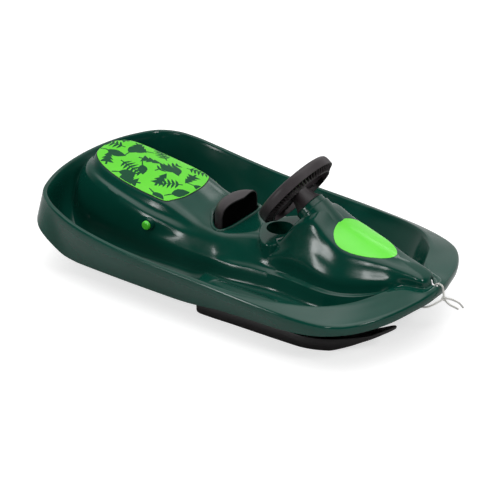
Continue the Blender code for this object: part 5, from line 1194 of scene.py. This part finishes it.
def wheel_rib():
    rib = prism([(r * WHEEL_RADIUS, z * WHEEL_RADIUS) for r, z in RIB_SECTION],
                -RIB_HALF, RIB_HALF)
    rib.transform(Matrix.Rotation(QUARTER, 4, "X"))
    bmesh.ops.recalc_face_normals(rib, faces=rib.faces)
    return rib


def wheel_spoke():
    """A broad flat blade with turned-down edges, a screw tube behind it and a web along it."""
    spoke = bmesh.new()
    rings = [[spoke.verts.new((out, half * sign + more, height + rise))
              for sign, more, rise in SPOKE_SECTION] for out, half, height in SPOKE_STATIONS]
    bridge(spoke, rings)
    spoke.faces.new(rings[0])
    spoke.faces.new(list(reversed(rings[-1])))
    bmesh.ops.recalc_face_normals(spoke, faces=spoke.faces)
    merge(spoke, lathe(SCREW_TUBE, 28, Matrix.Translation((SCREW_TUBE_OUT, 0.0, 0.0))))
    merge(spoke, rounded_box((0.020, -0.0010, -0.0120), (0.076, 0.0010, -0.0030), 0.0004, 1))
    return spoke


def finger_bump():
    bump = bmesh.new()
    place = Matrix.Translation((BUMP_OUT_SHARE * WHEEL_RADIUS, 0.0, BUMP_HEIGHT))
    bmesh.ops.create_uvsphere(bump, u_segments=14, v_segments=8, radius=1.0,
                              matrix=place @ Matrix.Diagonal((*BUMP_HALVES, 1.0)))
    return bump


def build_wheel():
    rim = [(r * WHEEL_RADIUS, z * WHEEL_RADIUS) for r, z in RIM_SECTION]
    bm = lathe(rim, 128, COLUMN, closed=True)
    rib_step = math.tau / RIB_COUNT
    merge(bm, ring_of(wheel_rib(), RIB_COUNT, rib_step / 2.0, rib_step))
    merge(bm, lathe(HUB_CONE, 72, COLUMN))
    merge(bm, ring_of(wheel_spoke(), SPOKE_COUNT, QUARTER, QUARTER))
    for middle in (QUARTER, 3.0 * QUARTER):         # left and right, where the hands are
        first = middle - BUMP_STEP * (BUMP_COUNT - 1) / 2.0
        merge(bm, ring_of(finger_bump(), BUMP_COUNT, first, BUMP_STEP))
    wheel = new_piece("steering_wheel_moulding", bm, BLACK)
    hand_over(wheel, "steering", 36.0, ["steering_wheel"])


build_wheel()


# ---- brake handle
SCOOP_RADII, SCOOP_CENTRE = Vector((0.0645, 0.0725, 0.0505)), at(-0.0137, 0.0, 0.7775)
SCOOP_BASE, SCOOP_WALL, SCOOP_BEVEL = 0.101, 0.0034, 0.0012
SCOOP_PLAN_POWER, SCOOP_DOME_POWER = 0.84, 0.565     # under 1, a superellipse: squarer
SCOOP_FRONT, SCOOP_FRONT_SLOPE = -0.0174, 0.18       # the open front, swept back to its sides
SCOOP_FLOOR_END = -0.032
SCOOP_SKIRT_ROWS, SCOOP_DOME_ROWS, SCOOP_COLUMNS = 5, 25, 48
# side view of an arm, as shares (along, up)
BRAKE_ARM = [
    (-0.3160, 0.1550), (-0.3050, 0.1550), (-0.3050, 0.1765), (-0.2050, 0.6060), (-0.1500, 0.3900),
    (-0.0980, 0.3500), (-0.0560, 0.4200), (-0.0500, 0.5140), (-0.0790, 0.5140), (-0.0870, 0.4720),
    (-0.1020, 0.4500), (-0.1500, 0.4900), (-0.1985, 0.6925), (-0.2099, 0.6835), (-0.3080, 0.2500),
    (-0.3160, 0.2500),
]
ARM_INSIDE, ARM_OUTSIDE = 0.031, 0.039
BRAKE_HUB = [
    (0.0041, -0.0440), (0.0102, -0.0440), (0.0110, -0.0432), (0.0110, 0.0432), (0.0102, 0.0440),
    (0.0041, 0.0440),
]
CLAW_BAR = ((-0.3170, -0.0420, 0.0300), (-0.3040, 0.0420, 0.0510))


def scoop_spot(turn, reach, height):
    """A point of the scoop's plan, by its turn from straight back and its share of the size."""
    across = math.copysign(abs(math.sin(turn)) ** SCOOP_PLAN_POWER, turn)
    return Vector((SCOOP_CENTRE.x - SCOOP_RADII.x * reach * math.cos(turn) ** SCOOP_PLAN_POWER,
                   SCOOP_RADII.y * reach * across, height))


def front_turn(reach):
    """The turn at which the scoop meets its open front, by halving."""
    low, high = 0.0, QUARTER
    for _ in range(40):
        turn = (low + high) / 2.0
        p = scoop_spot(turn, reach, 0.0)
        if p.x < SCOOP_FRONT - SCOOP_FRONT_SLOPE * abs(p.y):
            low = turn
        else:
            high = turn
    return low


def scoop_shell():
    """Straight skirt, then a dome, as one open sheet whose faces point outwards."""
    rows = [(1.0, SCOOP_BASE + (SCOOP_CENTRE.z - SCOOP_BASE) * k / SCOOP_SKIRT_ROWS)
            for k in range(SCOOP_SKIRT_ROWS)]
    for k in range(SCOOP_DOME_ROWS):
        rise = QUARTER * (1.0 - (1.0 - k / SCOOP_DOME_ROWS) ** 1.5)
        rows.append((math.cos(rise) ** SCOOP_DOME_POWER,
                     SCOOP_CENTRE.z + SCOOP_RADII.z * math.sin(rise) ** SCOOP_DOME_POWER))
    rows.append((0.0600, SCOOP_CENTRE.z + SCOOP_RADII.z * 0.9999))
    bm = bmesh.new()
    grid = []
    for reach, height in rows:
        far = front_turn(reach)
        grid.append([bm.verts.new(scoop_spot(far * (2.0 * i / SCOOP_COLUMNS - 1.0), reach, height))
                     for i in range(SCOOP_COLUMNS + 1)])
    for a, b in zip(grid, grid[1:]):
        for k in range(SCOOP_COLUMNS):
            bm.faces.new((a[k], a[k + 1], b[k + 1], b[k]))
    bmesh.ops.recalc_face_normals(bm, faces=bm.faces)
    bm.normal_update()
    if bm.faces[0].normal.dot(bm.faces[0].calc_center_median() - SCOOP_CENTRE) < 0.0:
        bmesh.ops.reverse_faces(bm, faces=bm.faces)
    return bm


def brake_arm(side):
    shape = [(at(a, 0.0, b).x, at(a, 0.0, b).z) for a, b in BRAKE_ARM]
    plate = prism(shape, *sorted((-ARM_INSIDE * side, -ARM_OUTSIDE * side)))
    plate.transform(Matrix.Rotation(QUARTER, 4, "X"))
    bmesh.ops.recalc_face_normals(plate, faces=plate.faces)
    round_edges(plate, 0.0008, 1)
    return plate


def build_brake():
    scoop = new_piece("brake_handle", scoop_shell(), BLACK)
    scoop.data.materials.append(SCOOP_INSIDE_PAINTED_SHADE)
    wall = scoop.modifiers.new("wall", "SOLIDIFY")
    # the inner faces take the near black of the painted shade
    wall.thickness, wall.offset, wall.material_offset = SCOOP_WALL, -1.0, 1
    bake(scoop)
    bevel = scoop.modifiers.new("edge", "BEVEL")
    bevel.width, bevel.segments = SCOOP_BEVEL, 3
    bevel.limit_method, bevel.angle_limit = "ANGLE", math.radians(50.0)
    bake(scoop)
    bm = bmesh.new()
    bm.from_mesh(scoop.data)
    edge = [scoop_spot(math.radians(-90.0 + 3.0 * i), 0.985, 0.0) for i in range(61)]
    floor = [(p.x, p.y) for p in edge if p.x < SCOOP_FLOOR_END]
    for part in (prism(floor, SCOOP_BASE, SCOOP_BASE + SCOOP_WALL), brake_arm(1.0),
                 brake_arm(-1.0), lathe(BRAKE_HUB, 40, across_axle(1.0), closed=True),
                 rounded_box(*CLAW_BAR, 0.0012)):
        merge(bm, part)
    put_back(scoop, bm, BLACK, SCOOP_INSIDE_PAINTED_SHADE)
    hand_over(scoop, "brake", 36.0, ["brake_lever"])


build_brake()


# ---- skis
SKI_WALL, SKI_FLOOR = 0.0038, 0.006
SKI_PIVOT_BOSS = [
    (0.0041, 0.0432), (0.0150, 0.0432), (0.0158, 0.0424), (0.0162, 0.0060),
]
SKI_STUD_BOSS = [
    (0.0027, 0.0342), (0.0084, 0.0342), (0.0090, 0.0336), (0.0094, 0.0060),
]
SKI_WEBS, SKI_WEB_MIDDLE, SKI_WEB_HALF = (0.05, 0.10, 0.23), 0.1675, 0.028


def ski_section(out, into, low, high, deep):
    """(across, up) round a ski: rounded runner below, two thin walls with a trough between."""
    rim = min(SKI_WALL, (out - into) / 2.6)
    return [(out - 0.0030, low), (out - 0.0008, low + 0.0009), (out, low + 0.0032),
            (out, high - 0.0012), (out - 0.0010, high), (out - rim + 0.0008, high),
            (out - rim, high - 0.0010), (out - rim - 0.0008, deep), (into + rim + 0.0008, deep),
            (into + rim, high - 0.0010), (into + rim - 0.0008, high), (into + 0.0010, high),
            (into, high - 0.0012), (into, low + 0.0032), (into + 0.0008, low + 0.0009),
            (into + 0.0030, low)]


def build_ski(word, side):
    plan = open_line([Vector((a * LENGTH, b * HALF_WIDTH, c * HALF_WIDTH))
                      for a, b, c, *_ in SKI_ROWS], 5)
    tall = open_line([Vector((a * LENGTH, d * RIM_HEIGHT, e * RIM_HEIGHT))
                      for a, _, _, d, e in SKI_ROWS], 5)
    bm = bmesh.new()
    rings = []
    for i, (p, t) in enumerate(zip(plan, tall)):
        low, high = max(0.0, t.y), t.z
        # the trough ends short of both ends
        inside = 6 < i < len(plan) - 6
        deep = min(high - 0.0012, low + SKI_FLOOR) if inside else high - 0.0008
        rings.append([bm.verts.new((p.x, y * side, z))
                      for y, z in ski_section(p.y, p.z, low, high, deep)])
    bridge(bm, rings)
    bm.faces.new(rings[0])
    bm.faces.new(list(reversed(rings[-1])))
    merge(bm, lathe(SKI_PIVOT_BOSS, 48, upright(SKI_PIVOT_SHARES, side)))
    merge(bm, lathe(SKI_STUD_BOSS, 40, upright(SKI_STUD_SHARES, side)))
    middle = SKI_WEB_MIDDLE * side
    for spot in SKI_WEBS:
        merge(bm, rounded_box((spot, middle - SKI_WEB_HALF, 0.005),
                              (spot + 0.003, middle + SKI_WEB_HALF, 0.020), 0.0008, 1))
    bmesh.ops.recalc_face_normals(bm, faces=bm.faces)
    ski = new_piece("ski_moulding_" + word, bm, SKI_BLACK)
    hand_over(ski, word + "_ski", 40.0, ["ski_" + word])


# ---- axle caps: domed buttons, with the bore that takes the axle's end
CAP_DOME = [
    (0.0043, 0.1288), (0.0102, 0.1288), (0.0109, 0.1295), (0.0109, 0.1338), (0.0105, 0.1355),
    (0.0094, 0.1369), (0.0072, 0.1375), (0.0, 0.1375),
]
CAP_BORE = [
    (0.0043, 0.1288), (0.0043, 0.1333), (0.0, 0.1333),
]


def build_cap(word, side):
    cap = lathe(CAP_DOME, 56, across_axle(side))
    merge(cap, lathe(CAP_BORE, 32, across_axle(side)))
    piece = new_piece("axle_button_" + word, cap, CAP_GREEN)
    hand_over(piece, "hull", 40.0, ["axle_cap_" + word])


for build in (build_ski, build_cap):
    for word, side in SIDES.items():
        build(word, side)

# ---- the pieces that keep their CAD shape get their real materials
for mat, names in (
        (STEEL, ["steering_column", "wheel_screw", "tie_bar", "brake_claw", "brake_axle"]),
        (STEEL, [name + "_" + word for word in SIDES
                 for name in ("claw_screw", "pivot_bolt", "pivot_nut", "steering_stud",
                              "stud_washer")]),
        (ACETAL, ["upper_bush", "lower_bush"])):
    for name in names:
        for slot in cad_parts[name].material_slots:
            slot.material = mat


# ---- tow cord: one loop through the deck slot and round the rim, a knot, two loose ends
CORD_LOOP = [
    (0.5209, 0.0193, 0.5975), (0.5185, 0.0257, 0.6310), (0.5170, 0.0304, 0.6650),
    (0.5146, 0.0311, 0.6940), (0.5095, 0.0314, 0.7105), (0.5035, 0.0314, 0.7105),
    (0.4984, 0.0304, 0.6930), (0.4961, 0.0268, 0.6650), (0.4940, 0.0161, 0.6325),
    (0.4905, -0.0036, 0.6025), (0.4855, -0.0321, 0.5750), (0.4800, -0.0679, 0.5500),
    (0.4785, -0.1018, 0.5300), (0.4830, -0.1304, 0.5150), (0.4915, -0.1357, 0.5075),
    (0.5000, -0.1179, 0.5075), (0.5080, -0.0821, 0.5200), (0.5145, -0.0429, 0.5400),
    (0.5197, -0.0032, 0.5575),
]
KNOT = (0.5220, 0.0179, 0.5655)
TAILS = {
    "lower": [
        (0.5249, 0.0236, 0.5375), (0.5285, 0.0375, 0.5075), (0.5325, 0.0643, 0.4675),
        (0.5365, 0.1000, 0.4275), (0.5400, 0.1386, 0.3850),
    ],
    "upper": [
        (0.5253, 0.0386, 0.5585), (0.5310, 0.0714, 0.5375), (0.5360, 0.1143, 0.4950),
        (0.5390, 0.1554, 0.4475), (0.5400, 0.1893, 0.4000), (0.5400, 0.2196, 0.3510),
    ],
}


# the knot: three turns of the cord wound over each other, each tilted about another axis
KNOT_RADIUS, KNOT_WAVE, KNOT_POINTS = 0.0036, 0.0008, 28
KNOT_TURNS = [
    ("X", 0.5), ("Y", 1.2), ("Z", 0.2),
]
CORD_ANGLE = 60.0


def build_knot():
    bm = bmesh.new()
    for k, (axis, tilt) in enumerate(KNOT_TURNS):
        turn = (Matrix.Translation(at(*KNOT)) @ Matrix.Rotation(tilt, 4, axis)
                @ Matrix.Rotation(0.9 * k, 4, "X"))
        ring = [turn @ Vector((KNOT_RADIUS * math.cos(a), KNOT_RADIUS * math.sin(a),
                               KNOT_WAVE * math.sin(2.0 * a)))
                for a in (math.tau * i / KNOT_POINTS for i in range(KNOT_POINTS))]
        merge(bm, tube(ring, CORD_RADIUS, 14, closed=True))
    knot = new_piece("cord_knot_wound", bm, CORD)
    hand_over(knot, "hull", CORD_ANGLE, ["cord_knot"])
    return knot


def build_cord(name, rows, node_name, makers=()):
    """One stretch of the cord along its route; the CAD node that it replaces is hidden."""
    route = open_line([at(*row) for row in rows], 6)
    piece = new_piece(name, tube(route, CORD_RADIUS, 16), CORD)
    hand_over(piece, "hull", CORD_ANGLE, [node_name])
    [make() for make in makers]


build_cord("tow_cord_braid", CORD_LOOP, "tow_cord", [build_knot])
for word, rows in TAILS.items():
    build_cord("cord_tail_" + word, rows, "cord_end_" + word)

# ---- camera at the photograph's angle, floor, light
def build_camera():
    data = bpy.data.cameras.new("camera")
    data.sensor_width, data.lens = 36.0, 128.52
    camera = bpy.data.objects.new("camera", data)
    bpy.context.scene.collection.objects.link(camera)
    camera.location = (2.17973101, -3.00014235, 2.04446578)
    camera.rotation_mode = "QUATERNION"
    camera.rotation_quaternion = Vector((-0.5190, 0.7143, -0.4695)).to_track_quat("-Z", "Y")
    data.clip_start, data.clip_end = 0.1, 100.0
    bpy.context.scene.camera = camera


build_camera()


# Painted grey, and lit up for the camera alone: it shows as white and keeps the sled's shadow,
# and throws little light back on the sled.
FLOOR_GREY, FLOOR_GLOW, FLOOR_DROP = 0.60, 0.66, 0.0004


def build_floor():
    bm = bmesh.new()
    bmesh.ops.create_grid(bm, x_segments=8, y_segments=8, size=14.0)
    mat, tree, shader = blank("white_floor")
    floor = new_piece("floor", bm, mat)
    floor.location.z = -FLOOR_DROP
    shader.inputs["Base Color"].default_value = (FLOOR_GREY, FLOOR_GREY, FLOOR_GREY, 1.0)
    shader.inputs["Roughness"].default_value = 0.9
    shader.inputs["Specular IOR Level"].default_value = 0.0
    shader.inputs["Emission Color"].default_value = (1.0, 1.0, 1.0, 1.0)
    seen = node(tree, "ShaderNodeLightPath").outputs["Is Camera Ray"]
    glow = node(tree, "ShaderNodeMath", {0: seen, 1: FLOOR_GLOW}, operation="MULTIPLY")
    tree.links.new(glow.outputs[0], shader.inputs["Emission Strength"])


build_floor()


def build_world():
    """A pale studio: bright wall behind the sled and overhead, dark on the camera's side."""
    world = bpy.data.worlds.new("studio")
    bpy.context.scene.world = world
    world.use_nodes = True
    tree = world.node_tree
    tree.nodes.clear()
    way = node(tree, "ShaderNodeTexCoord").outputs["Generated"]
    behind = node(tree, "ShaderNodeVectorMath", {0: way, 1: (-0.560, 0.780, 0.280)},
                  operation="DOT_PRODUCT").outputs["Value"]
    above = node(tree, "ShaderNodeSeparateXYZ", {0: way}).outputs[2]
    wall = node(tree, "ShaderNodeMapRange", {"Value": behind, "From Min": 0.05, "From Max": 0.55,
                                             "To Min": 0.03, "To Max": 0.72}).outputs["Result"]
    lamp = node(tree, "ShaderNodeMapRange", {"Value": above, "From Min": 0.78, "From Max": 0.95,
                                             "To Min": 0.0, "To Max": 2.0}).outputs["Result"]
    total = node(tree, "ShaderNodeMath", {0: wall, 1: lamp}, operation="ADD").outputs[0]
    back = node(tree, "ShaderNodeBackground", {"Color": (1.0, 1.0, 1.0, 1.0), "Strength": total})
    node(tree, "ShaderNodeOutputWorld", {"Surface": back.outputs[0]})


build_world()


def softbox(name, place, target, size, power):
    data = bpy.data.lights.new(name, "AREA")
    data.shape, data.size, data.size_y, data.energy = "RECTANGLE", size[0], size[1], power
    lamp = bpy.data.objects.new(name, data)
    bpy.context.scene.collection.objects.link(lamp)
    lamp.location = place
    lamp.rotation_mode = "QUATERNION"
    lamp.rotation_quaternion = (Vector(target) - Vector(place)).to_track_quat("-Z", "Y")


softbox("lamp_front", (2.6, -0.6, 2.4), (0.1, 0.0, 0.1), (0.7, 0.7), 22.0)
softbox("lamp_flank", (-0.95, -2.27, 0.98), (0.24, -0.06, 0.20), (0.36, 0.75), 12.0)
softbox("lamp_nose", (0.80, -2.17, 1.64), (0.364, -0.06, 0.157), (0.26, 0.40), 5.0)
softbox("lamp_back", (-0.43, 2.16, 1.68), (-0.142, 0.053, 0.168), (0.55, 0.40), 1.8)

bpy.context.scene.view_settings.view_transform = "Standard"
